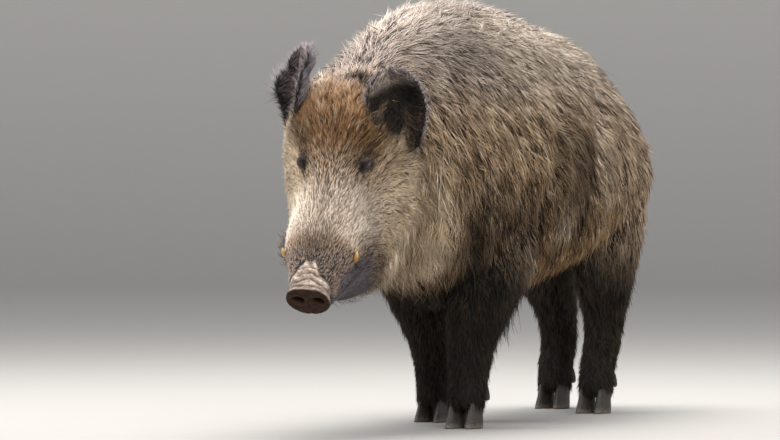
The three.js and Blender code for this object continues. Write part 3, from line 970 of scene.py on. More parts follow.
def sandy_marks(at):
    """The fawn of cheek and jowl, and the ochre of throat, flank and belly."""
    hy, hz, y, z = at.hy, at.hz, at.y, at.z
    fawn = whole(at.head * 1.3) * fade(hy, 0.17, 0.12) * fade(hz, 0.02, -0.06)
    on_jowl = fade(at.past_jowl - 0.02 * fade(z, 0.36, 0.42), -0.02, -0.05)
    fawn = np.maximum(fawn, on_jowl * fade(z, 0.58, 0.48) * fade(y, -0.55, -0.45))
    # the fawn fades out low on the jowl: painted shade of the jowl's underside
    fawn = fawn * fade(hy, -0.26, -0.16) * fade(z, 0.345, 0.39)
    fawn = fawn * (0.85 + 0.15 * blotch(at.points, 0.022, 1.0))
    throat = bell(hz + at.ragged, -0.25, 0.045) * at.head * fade(hy, 0.12, 0.05)
    tan = at.head * bell(hz, -0.075, 0.04) * fade(hy, 0.04, -0.02)
    belly = fade(at.normals[:, 2], 0.15, -0.6) * at.off_head * fade(y, -0.35, -0.2)
    warm = fade(z, 0.76, 0.62) * fade(y, 0.30, 0.18) * at.off_head * (1 - at.leg)
    ochre = throat + 0.55 * tan + 0.35 * warm + belly * (0.75 * (1 - at.leg) + 0.5 * fade(y, -0.2, -0.35))
    return {"fawn": fawn, "ochre": whole(ochre)}


# %% Markings of the body and legs
def body_marks(at):
    """The black-brown legs and chest, painted shade on chest, shoulder, flank, folds and behind the jowl, the
    grey back and the loose curls.
    """
    x, y, z, past = at.x, at.y, at.z, at.past_jowl
    fore = fade(y, 0.34, 0.26)
    top = 0.305 * fore + 0.385 * (1 - fore) + 0.8 * at.ragged
    dark = fade(z, top + 0.11, top - 0.10) * whole(1.2 * at.leg + 0.25) * at.off_head
    inside = fade(at.normals[:, 0] * np.sign(x), 0.2, -0.5) * at.leg
    brisket = np.interp(y, [-0.40, -0.30, -0.18, 0.0, 0.15], [0.25, 0.32, 0.39, 0.33, 0.27])
    elbow = np.interp(z, [0.28, 0.42, 0.55], [-0.14, -0.08, -0.07])
    elbow_edge = bell(y + at.ragged / 2, elbow, 0.014) * fade(z, 0.29, 0.33) * fade(z, 0.55, 0.48)
    elbow_edge = elbow_edge * (x > 0) * (1 - inside)
    elbow_brown = bell(y, -0.18, 0.06) * bell(z, 0.345, 0.04) * (x > 0)
    chest = fade(z + at.ragged, brisket + 0.04, brisket - 0.03) * fade(y, 0.12, 0.0) * at.off_head
    # painted shadow behind the jowl, where the head's coat hangs over the neck
    jowl_shadow = bell(past, 0.05, np.interp(z, [0.33, 0.42, 0.52], [0.06, 0.05, 0.03])) * fade(past, 0.0, 0.02)
    chest = whole(chest + jowl_shadow * fade(z, 0.52, 0.42) * at.off_head)
    flank = bell(y + at.ragged, 0.06, 0.12) * fade(z, 0.74, 0.58) * fade(z, 0.33, 0.44) * (1 - at.leg)
    thigh_fold = bell(y + at.ragged / 2, 0.155, 0.026) * fade(z, 0.70, 0.58) * fade(z, 0.40, 0.46)
    thigh_edge = bell(y + at.ragged / 2, 0.235, 0.025) * fade(z, 0.74, 0.66) * fade(z, 0.46, 0.52) * (x > 0)
    shoulder = fade(z, 0.64, 0.44) * fade(y, 0.03, -0.06) * fade(past, 0.0, 0.03) * at.off_head
    behind_cheek = bell(past, 0.03, 0.035) * fade(z, 0.64, 0.56) * at.off_head
    # chest is partly the boar's own black-brown and partly painted shade; flank, thigh fold, shoulder and
    # behind_cheek are painted shade
    shadows = (0.9 * chest, 0.74 * flank + 0.6 * thigh_fold, 0.74 * shoulder, 0.3 * behind_cheek)
    shadow = np.maximum.reduce(shadows) * (1 - 0.7 * elbow_edge) * (1 - 0.5 * elbow_brown)
    dark = whole(dark * (1 - 0.5 * elbow_brown) + inside + shadow)
    # painted shade under the jaw and chin, where the jowl overhangs the throat
    dark = whole(dark + 0.6 * fade(z, 0.36, 0.315) * fade(past, 0.02, -0.02) * fade(at.hy, 0.14, 0.08))
    curl = curl_at(at.points)
    return {
        "dark": dark * (1 - curl),
        "pale": 1.1 * curl + 0.55 * thigh_edge + 0.45 * elbow_edge,
        "grey": fade(z, 0.62, 0.86) * at.off_head * (1 - at.ear),
        "shade": 0.6 * jowl_shadow * fade(z, 0.50, 0.42) * at.off_head + 0.45 * thigh_fold,
    }


def crest_marks(at):
    """Slate on the nape and poll, pale on the poll, a painted highlight on the back's top, and painted shade
    in slate on the withers' top edge.
    """
    y, z = at.y, at.z
    # painted highlight: the top of the back is made paler, as if lit from above
    back_highlight = fade(z, 0.76, 0.84) * bell(y, 0.25, 0.2)
    nape = fade(z, 0.68, 0.78) * fade(y, -0.12, -0.30) * (1 - at.ear)
    poll = bell(np.hypot(at.hx - 0.01, at.hy + 0.195), 0, 0.06) * fade(at.hz, -0.04, -0.01) * (1 - at.ear)
    # painted shade: slate laid on the crest's top edge to hold down the overhead light there
    withers_shade = fade(z, 0.85, 0.90) * fade(y, 0.3, 0.1) * at.off_head
    return {"slate": 0.38 * nape + 0.42 * poll + 0.75 * withers_shade, "pale": 0.24 * poll + 0.2 * back_highlight}


# %% Markings of the ears and eyes
def ear_marks(at):
    """Dark hair with painted shade in the hollow, slate on the back and rim, fawn hair combed in from the
    head's side, and a painted highlight on the left ear's top.
    """
    right = at.ear * (at.x < HEAD[0])
    up = up_ear_at(at.points)
    # the left ear's top is made pale and less dark as a painted highlight, as if overhead light caught it
    top = fade(up, 0.03, 0.052)
    combed = fade(up, 0.01, -0.03) * fade(at.x - EAR_MIDDLE["left"][0], -0.005, 0.015)
    inside = at.ear * at.hollow * (1 - 0.9 * top) * (1 - 0.45 * combed)
    blue = np.where(at.x < HEAD[0], 0.85, 1 - 0.8 * at.hollow * (1 - top))
    blue = at.ear * np.maximum(blue, 1 - at.hollow) * (1 - 0.5 * top * at.hollow * (1 - right))
    return {
        "dark": inside * (1 - 0.8 * right),
        "slate": blue,
        "pale": at.ear * (1 - right) * (0.15 * at.margin + 0.8 * top * at.hollow),
        # painted shade in the left ear's hollow
        "shade": inside * (1 - right),
    }


def eye_marks(at):
    """Dark lids with a lighter ring round them, painted shade under the brow fold over them and at the
    temple, and the tear line.
    """
    def round_spot(out, hy, hz, size):
        off = np.sqrt((at.out - out) ** 2 + (at.hy - hy) ** 2 + (at.hz - hz) ** 2)
        return bell(off, 0, size) * at.head

    hoods = []
    for side in EYES:
        _, corner, brow = eye_ways(side)
        away = at.points - EYES[side]
        # painted shade: a dark band under the fold of the brow
        hood = bell(away @ brow, 20 * MM, 4.5 * MM) * bell(away @ corner, -6 * MM, 16 * MM) * at.head
        hoods.append(0.7 * hood * (np.linalg.norm(away, axis=1) < 0.05))
    # painted shadow under the ear's front and behind the eye
    temple_shade = round_spot(0.100, -0.070, -0.012, 0.026)
    temple_shade = np.maximum(temple_shade, 0.8 * round_spot(0.125, -0.068, -0.058, 0.034))
    return {
        "lids": fade(from_eyes(at.points, 1.5), 0.0185, 0.0160) * at.head,
        "ring": bell(from_eyes(at.points, 1.3), 0.0215, 0.0035) * at.head,
        "temple_shade": 0.65 * temple_shade,
        "tear": tear_at(at.points, 2.3) * at.head,
        "hoods": hoods,
    }


# %% All the markings together
def markings(points, normals, part):
    """Each marking's share at each point. Later darks are laid over earlier ones, and slate over dark."""
    at = places_at(points, normals, part)
    face, ears, eyes = face_marks(at), ear_marks(at), eye_marks(at)
    body, crest = body_marks(at), crest_marks(at)
    # dark holds the boar's own dark hair and, laid in with it, painted shade from the body's folds, the ears'
    # bowls, the temple and the brow
    dark = whole(body["dark"] + face["bowl"])
    dark = whole(dark + ears["dark"])
    dark = whole(dark + eyes["lids"] + 0.35 * face["snout"]) * (1 - 0.5 * eyes["ring"])
    for more in (eyes["temple_shade"], eyes["tear"], *eyes["hoods"]):
        dark = whole(dark + more)
    slate = whole(face["slate"] + ears["slate"] + crest["slate"])
    pale = whole(whole(face["pale"] + body["pale"]) + ears["pale"] + crest["pale"])
    bare = whole(face["bare"] + 0.1 * eyes["ring"] + 0.07 * eyes["lids"]) * (1 - eyes["tear"])
    # painted shade: shade darkens towards black in the ear hollows and bowls, behind the jowl, in the thigh
    # fold and the tear crease, and over the snout
    shade = ears["shade"] + 0.8 * face["bowl"] + body["shade"] + 0.3 * face["snout"] + 0.8 * eyes["tear"]
    return sandy_marks(at) | {
        "shade": whole(shade), "pale": pale, "rusty": face["rusty"], "slate": slate, "bare": bare,
        "dark": dark * (1 - slate), "grey": body["grey"],
    }


marks = markings(points, normals, part)
for name, values in marks.items():
    carry(skin.data, name, values)
print({name: round(float(values.mean()), 3) for name, values in marks.items()})

# %% [markdown]
# The lie of the coat is a direction at every point: up the forehead, back along the spine and ever more
# steeply down the flanks, back over the cheeks and then down at the jowl, down the legs. It is worked
# out from the same places as the markings, then laid flat on the skin.

# %% The lie of the coat
BACK = np.array([0.0, 1.0, 0.0])
DOWN = np.array([0.0, 0.0, -1.0])


def lie_at(points, normals, part):
    hx, hy, hz = head_place(points).T
    x, y, z = points.T
    outward = np.sign(x)[:, None] * np.array([1.0, 0, 0])
    steep = 0.2 + 1.7 * fade(z, 0.88, 0.68) + 1.5 * fade(z, 0.70, 0.48)
    body = BACK + DOWN * steep[:, None]
    body = body + outward * (0.15 * fade(normals[:, 2], 0.98, 0.6) * fade(normals[:, 2], 0.1, 0.6))[:, None]
    spread = np.clip(hx, -0.1, 0.1) * (5 - 3.5 * fade(hy, -0.03, -0.09))
    up_face = head_way(0, -1, 0) + head_way(1, 0, 0) * spread[:, None]
    fall = 0.05 + 0.5 * fade(hz, -0.08, -0.15) + 2.6 * fade(hz, -0.13, -0.24)
    cheek = BACK + DOWN * fall[:, None] + outward * 0.35
    turn_back = (fade(hz, -0.02, -0.09) * fade(hy, 0.24, 0.12))[:, None]
    head = up_face * (1 - turn_back) + cheek * turn_back
    shag = fade(normals[:, 1], 0.1, 0.8) * bell(z, 0.25, 0.14)
    leg = DOWN + BACK * (0.12 + 0.75 * shag)[:, None]
    tail = DOWN + 0 * points
    ear = np.zeros_like(points)
    hollow, _ = hollow_at(points, normals)
    for side, sign in (("left", 1), ("right", -1)):
        axis = EAR_AXIS[side]
        across = np.cross(axis, EAR_HOLLOW[side])
        away = (points - EAR_MIDDLE[side]) @ across
        here = (np.sign(x - HEAD[0]) == sign)[:, None]
        turned = np.clip(away / 0.045, -1, 1) * (0.8 - 2.0 * hollow)
        ear += here * (axis * (1 - 0.5 * hollow)[:, None] + across * turned[:, None])
    share = {g: part[g] for g in GROUPS}
    share["leg"] = share["leg"] * fade(z, 0.60, 0.40)
    share["body"] = 1 - np.clip(sum(share.values()), 0, 1)
    ways = {"body": unit(body), "head": unit(head), "leg": unit(leg), "tail": tail, "ear": unit(ear)}
    way = sum(share[g][:, None] * ways[g] for g in share)
    way = way - normals * (way * normals).sum(1, keepdims=True)
    return unit(way)


# %% [markdown]
# A tuft is a few bristles stuck together, thin, three-sided and closed, with its root in the skin. A
# long one is a spindle of six faces with a collar, where it bends: it rises from a point in the skin and
# then lies back. A short one is a straight spike of four. All tufts of a region are made at once as
# arrays, since a loop of separate objects would take hours.
#
# Bristles gather into locks. Some roots are picked as guides, and every other tuft leans sideways
# towards its guide's line and takes after its length, swing and tone. The guide is one that lies up or
# down the coat rather than beside it, so locks come out long and narrow, with the dark partings of a
# rough coat between them.

# %% Tufts as arrays
SIDES = 3
EDGES = ((0, 1), (1, 2), (2, 0))
BENT = np.array([[j + 1, i + 1, 0] for i, j in EDGES] + [[i + 1, j + 1, SIDES + 1] for i, j in EDGES])
STRAIGHT = np.array([[i, j, SIDES] for i, j in EDGES] + [[2, 1, 0]])
ROOT_DEPTH = 1.2 * MM


# %% The corners of every tuft at once
def ring(centre, across, outward, radius):
    """The three corners of a tuft's section, with one of them on its outer side."""
    corners = []
    for k in range(SIDES):
        angle = 2 * math.pi * k / SIDES
        corners.append(centre + (outward * math.cos(angle) + across * math.sin(angle)) * radius)
    return corners


def tuft_points(roots, normals, way, coat, nature, bent):
    """Every tuft's corners, as an array of tufts by corners by 3."""
    across = np.cross(way, normals)
    length = coat["length"][:, None]
    first = np.radians(coat["lift"])[:, None]
    last = np.radians(coat["lift"] - coat["droop"])[:, None]
    rise = way * np.cos(first) + normals * np.sin(first)
    lean = way * np.cos(last) + normals * np.sin(last)
    wave = across * nature["wave"][:, None] * length
    base = roots - normals * ROOT_DEPTH
    bend = roots + rise * length * COLLAR + wave
    tip = bend + lean * length * (1 - COLLAR) - wave * 1.6
    aside = ((roots[nature["guide"]] - roots) * across).sum(1, keepdims=True)
    shift = across * aside * nature["pull"][:, None]
    bend = bend + shift * 0.5
    tip = tip + shift
    radius = (coat["width"] * MM / 2)[:, None]
    outward = unit(normals - way * 0.3)
    corners = [base, *ring(bend, across, outward, radius)] if bent else ring(base, across, outward, radius)
    return np.stack([*corners, tip], axis=1)


def tuft_mesh(name, corners, carried, bent):
    """One mesh of many tufts. carried is what each tuft takes from its root, for the shader."""
    tufts, each = corners.shape[:2]
    pattern = BENT if bent else STRAIGHT
    triangles = (np.arange(tufts) * each)[:, None, None] + pattern[None]
    mesh = mesh_from(name, corners.reshape(-1, 3), triangles.reshape(-1, 3))
    along = np.array([0.0, *[COLLAR] * SIDES, 1.0] if bent else [0.0] * SIDES + [1.0])
    carry(mesh, "along", np.tile(along, tufts))
    for key, values in carried.items():
        carry(mesh, key, np.repeat(values, each))
    return mesh


# %% [markdown]
# Each coat piece gets its own map, named OFBake. Each tuft gets a small patch of that map at the
# place where its root lies on an unwrap of the skin. A thinned copy of the skin under the piece is
# unwrapped for that, and each root looks up the nearest face of it.

# %% Bake patches
PATCH = 0.003  # a tuft's patch, as a share of the map's side
THIN_FACES = 0.1
thin_skin = put("thin skin", skin.data.copy())
applied(thin_skin, ("DECIMATE", {"ratio": THIN_FACES}))
thin_points, thin_triangles = vertices_of(thin_skin.data), triangles_of(thin_skin.data)
bpy.data.objects.remove(thin_skin)
thin_near = KDTree(len(thin_triangles))
for number, centre in enumerate(thin_points[thin_triangles].mean(1)):
    thin_near.insert(centre, number)
thin_near.balance()
print("thin copy", len(thin_triangles), "faces")


# %% A small map for each piece
def unwrapped(surface_points, surface_triangles):
    """Unwraps a surface; returns each triangle's three places on the map."""
    used, inverse = np.unique(surface_triangles, return_inverse=True)
    obj = put("unwrap", mesh_from("unwrap", surface_points[used], inverse.reshape(-1, 3)))
    bpy.context.view_layer.objects.active = obj
    bpy.ops.object.select_all(action="DESELECT")
    obj.select_set(True)
    bpy.ops.object.mode_set(mode="EDIT")
    bpy.ops.mesh.select_all(action="SELECT")
    bpy.ops.uv.smart_project(angle_limit=1.15, island_margin=0.004, scale_to_bounds=True)
    bpy.ops.object.mode_set(mode="OBJECT")
    places = np.empty(len(obj.data.loops) * 2, np.float32)
    obj.data.uv_layers.active.data.foreach_get("uv", places)
    bpy.data.objects.remove(obj)
    return places.reshape(-1, 3, 2)


# %% A patch for each tuft
def patch_corners(bent):
    """Where each corner of a tuft's faces lies in its patch, from -0.5 to 0.5."""
    strips = [(k / SIDES - 0.5, (k + 1) / SIDES - 0.5) for k in range(SIDES)]
    if bent:
        lower = [[(b, 0), (a, 0), ((a + b) / 2, -0.5)] for a, b in strips]
        upper = [[(a, 0), (b, 0), ((a + b) / 2, 0.5)] for a, b in strips]
        return np.array(lower + upper)
    sides = [[(a, -0.3), (b, -0.3), ((a + b) / 2, 0.5)] for a, b in strips]
    return np.array(sides + [[(-0.5, -0.5), (0.5, -0.5), (0.5, -0.3)]])


def shares_in(roots, a, b, c):
    """Where each root lies in its triangle, as the three corners' shares."""
    ab, ac, ap = b - a, c - a, roots - a
    d00, d01, d11 = (ab * ab).sum(1), (ab * ac).sum(1), (ac * ac).sum(1)
    d20, d21 = (ap * ab).sum(1), (ap * ac).sum(1)
    area = np.maximum(d00 * d11 - d01 * d01, 1e-18)
    second = np.clip((d11 * d20 - d01 * d21) / area, 0, 1)
    third = np.clip((d00 * d21 - d01 * d20) / area, 0, 1)
    over = np.maximum(second + third, 1)
    return np.stack([1 - (second + third) / over, second / over, third / over], axis=1)


def lay_patches(mesh, roots, bent):
    nearest = np.array([thin_near.find(root)[1] for root in roots])
    region, face = np.unique(nearest, return_inverse=True)
    surface = thin_triangles[region]
    places = unwrapped(thin_points, surface)[face]
    shares = shares_in(roots, *(thin_points[surface[face, k]] for k in range(3)))
    at = (places * shares[:, :, None]).sum(1) * (1 - 2 * PATCH) + PATCH
    corners = at[:, None, None, :] + patch_corners(bent)[None] * PATCH
    layer = mesh.uv_layers.new(name="OFBake")
    layer.data.foreach_set("uv", np.ascontiguousarray(corners, np.float32).ravel())


# %% [markdown]
# Skin and hair are painted from one palette. `marked` lays the markings over a ground colour in order,
# each with its own tint; the tips, the roots and the skin are three palettes for it, light, dark and
# darker. Along a bristle the colour runs from the dark root to the light tip, and some bristles stay
# dark all the way, which is what makes a boar look grizzled.

# %% Coat and skin finishes
TIPS = {
    "ground": "d2b698", "grey": "e3d3c2", "rusty": "87633d", "ochre": "cda36e",
    "fawn": "fce0bc", "pale": "f3e4d2", "dark": "584c40", "slate": "80767a",
}
ROOTS = {
    "ground": "211812", "grey": "2c251f", "rusty": "3b2918", "ochre": "3a2a1a",
    "fawn": "5a4833", "pale": "8a7c70", "dark": "14110e", "slate": "242227",
}
HIDE = {
    "ground": "17120e", "grey": "201a16", "rusty": "3b2c20", "ochre": "231910",
    "fawn": "3d3025", "pale": "7d7064", "dark": "0b0908", "slate": "272325",
}
ORDER = ("grey", "rusty", "ochre", "fawn", "pale", "dark", "slate")


# %% From markings to colours
def marked(finish, palette):
    colour = tint(palette["ground"])
    for name in ORDER:
        colour = finish.mix(colour, tint(palette[name]), finish.value(name))
    return colour


def coat_finish(name, roughness):
    coat = Finish(name)
    along, tone = coat.value("along"), coat.value("tone")
    tips = coat.mix(marked(coat, TIPS), marked(coat, ROOTS), tone.between(0.47, 0.32) * 0.95)
    patches = coat.noise(0.09, 3).between(0.38, 0.62)
    tips = coat.mix(tips, tint("8f8578"), patches * 0.3, "MULTIPLY")
    plain = (1 - coat.value("dark")) * (1 - coat.value("slate"))
    tips = coat.mix(tips, tint("fff3e0"), tone.between(0.6, 0.95) * plain * 0.4, "SCREEN")
    reach = (along + (tone - 0.5) * 0.3).between(0.16, 0.78)
    colour = coat.mix(marked(coat, ROOTS), tips, reach)
    # painted shade: the shade marking darkens the coat towards near black
    colour = coat.mix(colour, tint("0c0a08"), coat.value("shade") * 0.8)
    return coat.surface(base_color=colour, roughness=roughness, specular_ior_level=0.2)


def skin_finish():
    hide = Finish("hide")
    pores = hide.noise(0.0016, 4)
    creases = hide.noise(0.006, 3, (1.0, 1.0, 2.5))
    bare = hide.mix(tint("ad9d90"), tint("cebcac"), hide.noise(0.012, 3).between(0.35, 0.65))
    colour = hide.mix(marked(hide, HIDE), bare, hide.value("bare"))
    colour = hide.mix(colour, tint("1b1715"), pores.between(0.5, 0.3) * 0.4)
    return hide.surface(
        base_color=colour,
        roughness=0.66,
        specular_ior_level=0.22,
        normal=hide.bump(pores + creases * 0.8, 0.0009, 0.7),
    )


skin.data.materials.append(skin_finish())
body_coat = coat_finish("winter coat", 0.6)
leg_coat = coat_finish("leg coat", 0.5)
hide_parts(*FLESH)
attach(skin, "root")

# %% [markdown]
# The eye of a boar is small, round and nearly all dark: a brown iris round a wide pupil. The ball has
# the clear cornea's bulge in front, turned towards the lids' opening, and its colours are rings round
# that direction. A clear coat over a dark ground gives the wet shine.

# %% Eyes
CORNEA = 1.0 * MM


def eyeball(side):
    out, _, _ = eye_ways(side)
    bm = bmesh.new()
    bmesh.ops.create_uvsphere(bm, u_segments=48, v_segments=32, radius=EYE_RADIUS)
    mesh = bpy.data.meshes.new(f"eyeball_{side}")
    bm.to_mesh(mesh)
    bm.free()
    mesh.shade_smooth()
    ball = vertices_of(mesh)
    facing = unit(ball) @ out
    bulge = CORNEA * fade(facing, 0.80, 0.97)
    place_vertices(mesh, EYES[side] + ball + unit(ball) * bulge[:, None])
    carry(mesh, "facing", facing)
    return mesh


# %% The eye's colours
def eye_finish():
    eye = Finish("eye")
    facing = eye.value("facing")
    fibres = eye.noise(0.0009, 3)
    iris = eye.mix(tint("2c1d19"), tint("503a33"), fibres.between(0.35, 0.7))
    white = eye.mix(tint("33272a"), iris, facing.between(0.72, 0.78))
    colour = eye.mix(white, tint("030202"), facing.between(0.93, 0.95))
    return eye.surface(base_color=colour, roughness=0.45, coat_weight=0.25, coat_roughness=0.04, ior=1.34)


EYE_FINISH = eye_finish()
for side in EYES:
    ball = put(f"eyeball_{side}", eyeball(side), EYE_FINISH)
    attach(ball, "root")
    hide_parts(f"eye_{side}")
print("eyes", EYE_RADIUS * 2 / MM, "mm across")

# %% [markdown]
# The nose disc is a gristly plate with a rolled rim, thicker above, and two wide nostrils. It is
# modelled as one sheet in rings: up the collar behind the rim, over the rim and in across the slightly
# dished face. The nostrils are pits pushed into that sheet, each with a raised edge, and a groove runs
# down from between them.

# %% Nose disc
DISC = {"half_width": 47 * MM, "half_height": 38 * MM, "tilt": math.radians(-13)}
DISC_MIDDLE = HEAD + np.array([0, 0.297, -0.028]) @ HEAD_AXES
NOSTRIL = {"spread": 21.5 * MM, "level": 1 * MM, "depth": 18 * MM}
NOSTRIL |= {"half_width": 14.5 * MM, "half_height": 10.5 * MM}
COLLAR_RINGS = [(0.82, -9.0), (0.88, -3.0), (0.93, 4.0), (0.98, 9.0), (1.01, 12.5)]
RIM_RINGS = [(1.025, 14.5), (1.01, 16.2), (0.95, 16.2)]


def nose_sheet():
    """Rings of points (leftward, up, out) over the disc, and how near the rim each ring is."""
    steps = 112
    face = [(r, 15.2 + 1.8 * r * r) for r in np.linspace(0.88, 0.0, 26)]
    turn = np.linspace(0, 2 * math.pi, steps, endpoint=False)
    rows = []
    for size, out in COLLAR_RINGS + RIM_RINGS + face:
        squarer = 1 + size * (0.03 * np.cos(4 * turn + math.pi) * fade(np.cos(turn), -0.2, 0.5) - 0.02)
        u = DISC["half_width"] * size * np.sin(turn) * squarer
        v = DISC["half_height"] * size * np.cos(turn) * squarer
        brow = 2.2 * bell(turn - math.pi, math.pi, 0.9) + 2.2 * bell(turn - math.pi, -math.pi, 0.9)
        w = (out + brow * fade(size, 0.6, 0.95)) * MM + 0 * u
        rows.append(np.stack([u, v, w], axis=1))
    sheet = np.array(rows)
    u, v, w = sheet[..., 0], sheet[..., 1], sheet[..., 2]
    behind = len(COLLAR_RINGS)
    front = np.array([0.0] * behind + [1.0] * (len(rows) - behind))[:, None]
    for side in (-1, 1):
        aside = (u - side * NOSTRIL["spread"]) / NOSTRIL["half_width"]
        away = np.hypot(aside, (v - NOSTRIL["level"]) / NOSTRIL["half_height"])
        w -= NOSTRIL["depth"] * fade(away, 1.0, 0.55) * front
        w += 1.3 * MM * bell(away, 1.25, 0.22) * front
    w -= 1.6 * MM * bell(u, 0, 2.2 * MM) * fade(v, 8 * MM, -4 * MM) * front
    w += 0.5 * MM * np.sin(v / MM * 0.9 + u / MM * 0.25) * bell(np.hypot(u, v * 1.2), 42 * MM, 8 * MM)
    rim = np.array([1.0] * behind + [0.85, 0.35] + [0.0] * (len(rows) - behind - 2))[:, None] + 0 * u
    return sheet, rim


# %% The sheet as a mesh
def nose_mesh():
    sheet, rim = nose_sheet()
    rows, steps = sheet.shape[:2]
    out = head_way(0, math.cos(DISC["tilt"]), -math.sin(DISC["tilt"]))
    up = head_way(0, math.sin(DISC["tilt"]), math.cos(DISC["tilt"]))
    places = DISC_MIDDLE + sheet.reshape(-1, 3) @ np.array([leftward, up, out])
    row, step = np.meshgrid(np.arange(rows - 1), np.arange(steps), indexing="ij")
    a = (row * steps + step).ravel()
    b = (row * steps + (step + 1) % steps).ravel()
    triangles = np.concatenate([np.stack([a, b, b + steps], 1), np.stack([a, b + steps, a + steps], 1)])
    mesh = mesh_from("nose_plate", places, triangles[:, ::-1])
    carry(mesh, "rim", rim.ravel())
    bm = bmesh.new()
    bm.from_mesh(mesh)
    bmesh.ops.remove_doubles(bm, verts=bm.verts, dist=WELD)
    bmesh.ops.holes_fill(bm, edges=[e for e in bm.edges if e.is_boundary])
    bmesh.ops.recalc_face_normals(bm, faces=bm.faces)
    bm.to_mesh(mesh)
    bm.free()
    mesh.shade_smooth()
    return mesh


# %% Nose leather
def nose_finish():
    nose = Finish("nose leather")
    sockets = {"Vector": nose.place(), "Scale": 620.0}
    pebbles = nose.node("ShaderNodeTexVoronoi", {"feature": "SMOOTH_F1"}, sockets)
    mottle = nose.noise(0.009, 3).between(0.35, 0.65)
    face = nose.mix(tint("382415"), tint("1c1209"), mottle)
    edge = nose.mix(tint("9d8d82"), tint("6f5f55"), mottle)
    colour = nose.mix(face, edge, nose.value("rim"))
    colour = nose.mix(colour, tint("1a110c"), pebbles.between(0.35, 0.75) * 0.45)
    height = (1 - pebbles) + nose.noise(0.004, 3) * 0.6
    return nose.surface(
        base_color=colour,
        roughness=0.62 + pebbles * 0.2,
        specular_ior_level=0.2,
        normal=nose.bump(height, 0.0006, 0.8),
    )


nose = put("nose_plate", nose_mesh(), nose_finish())
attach(nose, "root")
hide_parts("nose_disc")
print("nose disc", len(nose.data.polygons), "faces")

# %% [markdown]
# Tusks, hooves and dewclaws have the right shape already as solids, only with few faces. A Subdivision
# Surface rounds a copy of each, with the sharp edge of the sole creased so that it stays flat on the
# floor, and growth rings are pressed in along their length. Horn is layered from the top down and
# scuffed grey at the wear edge.

# %% Horn and ivory shapes
def refined(node, levels, flat_ends):
    """A smoothed copy of a node. flat_ends keeps the edges of its lowest and highest face sharp."""
    obj = put(f"{node}_fine", welded(node))
    bm = bmesh.new()
    bm.from_mesh(obj.data)
    bmesh.ops.dissolve_limit(bm, angle_limit=math.radians(1), verts=bm.verts, edges=bm.edges)
    levels_z = [v.co.z for v in bm.verts]
    sharp = bm.edges.layers.float.new("crease_edge")
    for edge in bm.edges:
        heights = [v.co.z for v in edge.verts]
        at_end = max(heights) < min(levels_z) + 2 * MM or min(heights) > max(levels_z) - 2 * MM
        edge[sharp] = 0.85 if flat_ends and at_end else 0.0
    bm.to_mesh(obj.data)
    bm.free()
    applied(obj, ("SUBSURF", {"levels": levels, "render_levels": levels}))
    obj.data.shade_smooth()
    return obj


# %% Horn and ivory finishes
def horn_finish():
    horn = Finish("hoof horn")
    height = horn.value("height")
    layers = horn.noise(0.004, 3, (0.5, 0.5, 3.0))
    fibres = horn.noise(0.0012, 2, (4.0, 4.0, 0.4))
    colour = horn.mix(tint("3b332c"), tint("1c1815"), layers.between(0.35, 0.65))
    colour = horn.mix(tint("6a5f53"), colour, (height + (layers - 0.5) * 0.5).between(0.0, 0.28))
    return horn.surface(
        base_color=colour,
        roughness=0.45 + fibres * 0.2,
        normal=horn.bump(layers + fibres * 0.4, 0.0007, 0.8),
    )


def ivory_finish():
    ivory = Finish("tusk ivory")
    along = ivory.value("height")
    lines = ivory.noise(0.003, 3, (3.0, 3.0, 0.6))
    colour = ivory.mix(tint("7a4c1e"), tint("bf924a"), along.between(0.05, 0.5))
    colour = ivory.mix(colour, tint("d6be88"), along.between(0.6, 0.95))
    colour = ivory.mix(colour, tint("5c3c1a"), lines.between(0.45, 0.3) * 0.5)
    lined = ivory.bump(lines, 0.0003, 0.6)
    return ivory.surface(base_color=colour, roughness=0.3, coat_weight=0.3, normal=lined)


# %% Growth rings, and where each piece sits
def fine_piece(node, name, material, levels, ring_gap, ring_depth, flat_ends=False, change=None):
    obj = refined(node, levels, flat_ends)
    obj.name = name
    points = vertices_of(obj.data)
    low, high = points[:, 2].min(), points[:, 2].max()
    share = (points[:, 2] - low) / (high - low)
    rings = np.sin(points[:, 2] * 2 * math.pi / ring_gap + 3 * blotch(points, 0.02))
    push = ring_depth * rings * fade(share, 0.04, 0.15)
    points = points + normals_of(obj.data) * push[:, None]
    place_vertices(obj.data, change(points, share) if change else points)
    carry(obj.data, "height", share)
    obj.data.materials.clear()
    obj.data.materials.append(material)
    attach(obj, "root")
    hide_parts(node)
    return obj


def into_the_foot(points, share):
    """Raises a hoof's top into the hair above it."""
    return points + np.array([0, 0, 7 * MM]) * fade(share, 0.5, 1.0)[:, None]


def into_the_leg(points, share):
    """Tucks a dewclaw's top against the fetlock."""
    return points + np.array([0, -7 * MM, 0]) * (0.4 + 0.6 * share)[:, None]


def worn_down(points, share):
    """A short tusk: only the middle of the tooth's height is left standing clear of the lip."""
    core = points[(share > 0.25) & (share < 0.45)].mean(0)
    return core + (points - core) * np.array([1.15, 1.15, 0.56]) + np.array([0, 0, 7 * MM])


# %% Tusks, hooves and dewclaws
HORN, IVORY = horn_finish(), ivory_finish()
for side in EYES:
    fine_piece(f"tusk_{side}", f"ivory_{side}", IVORY, 2, 6 * MM, 0.08 * MM, change=worn_down)
for leg in LEGS:
    for toe in ("outer", "inner"):
        foot = f"{leg}_{toe}"
        fine_piece(f"hoof_{foot}", f"toe_{foot}", HORN, 3, 7 * MM, 0.28 * MM, True, into_the_foot)
        fine_piece(f"dewclaw_{foot}", f"spur_{foot}", HORN, 2, 6 * MM, 0.2 * MM, False, into_the_leg)
print("hooves and dewclaws", len(LEGS) * 4)

# %% [markdown]
# Growing a region takes four steps: roots are scattered over the skin, as evenly as the density asks;
# the rules give each its length and lie; guides gather them into locks; and the region is cut into
# pieces small enough for the export. Long hair grows on the body, cheeks and tail, short hair on the
# face, ears and legs.

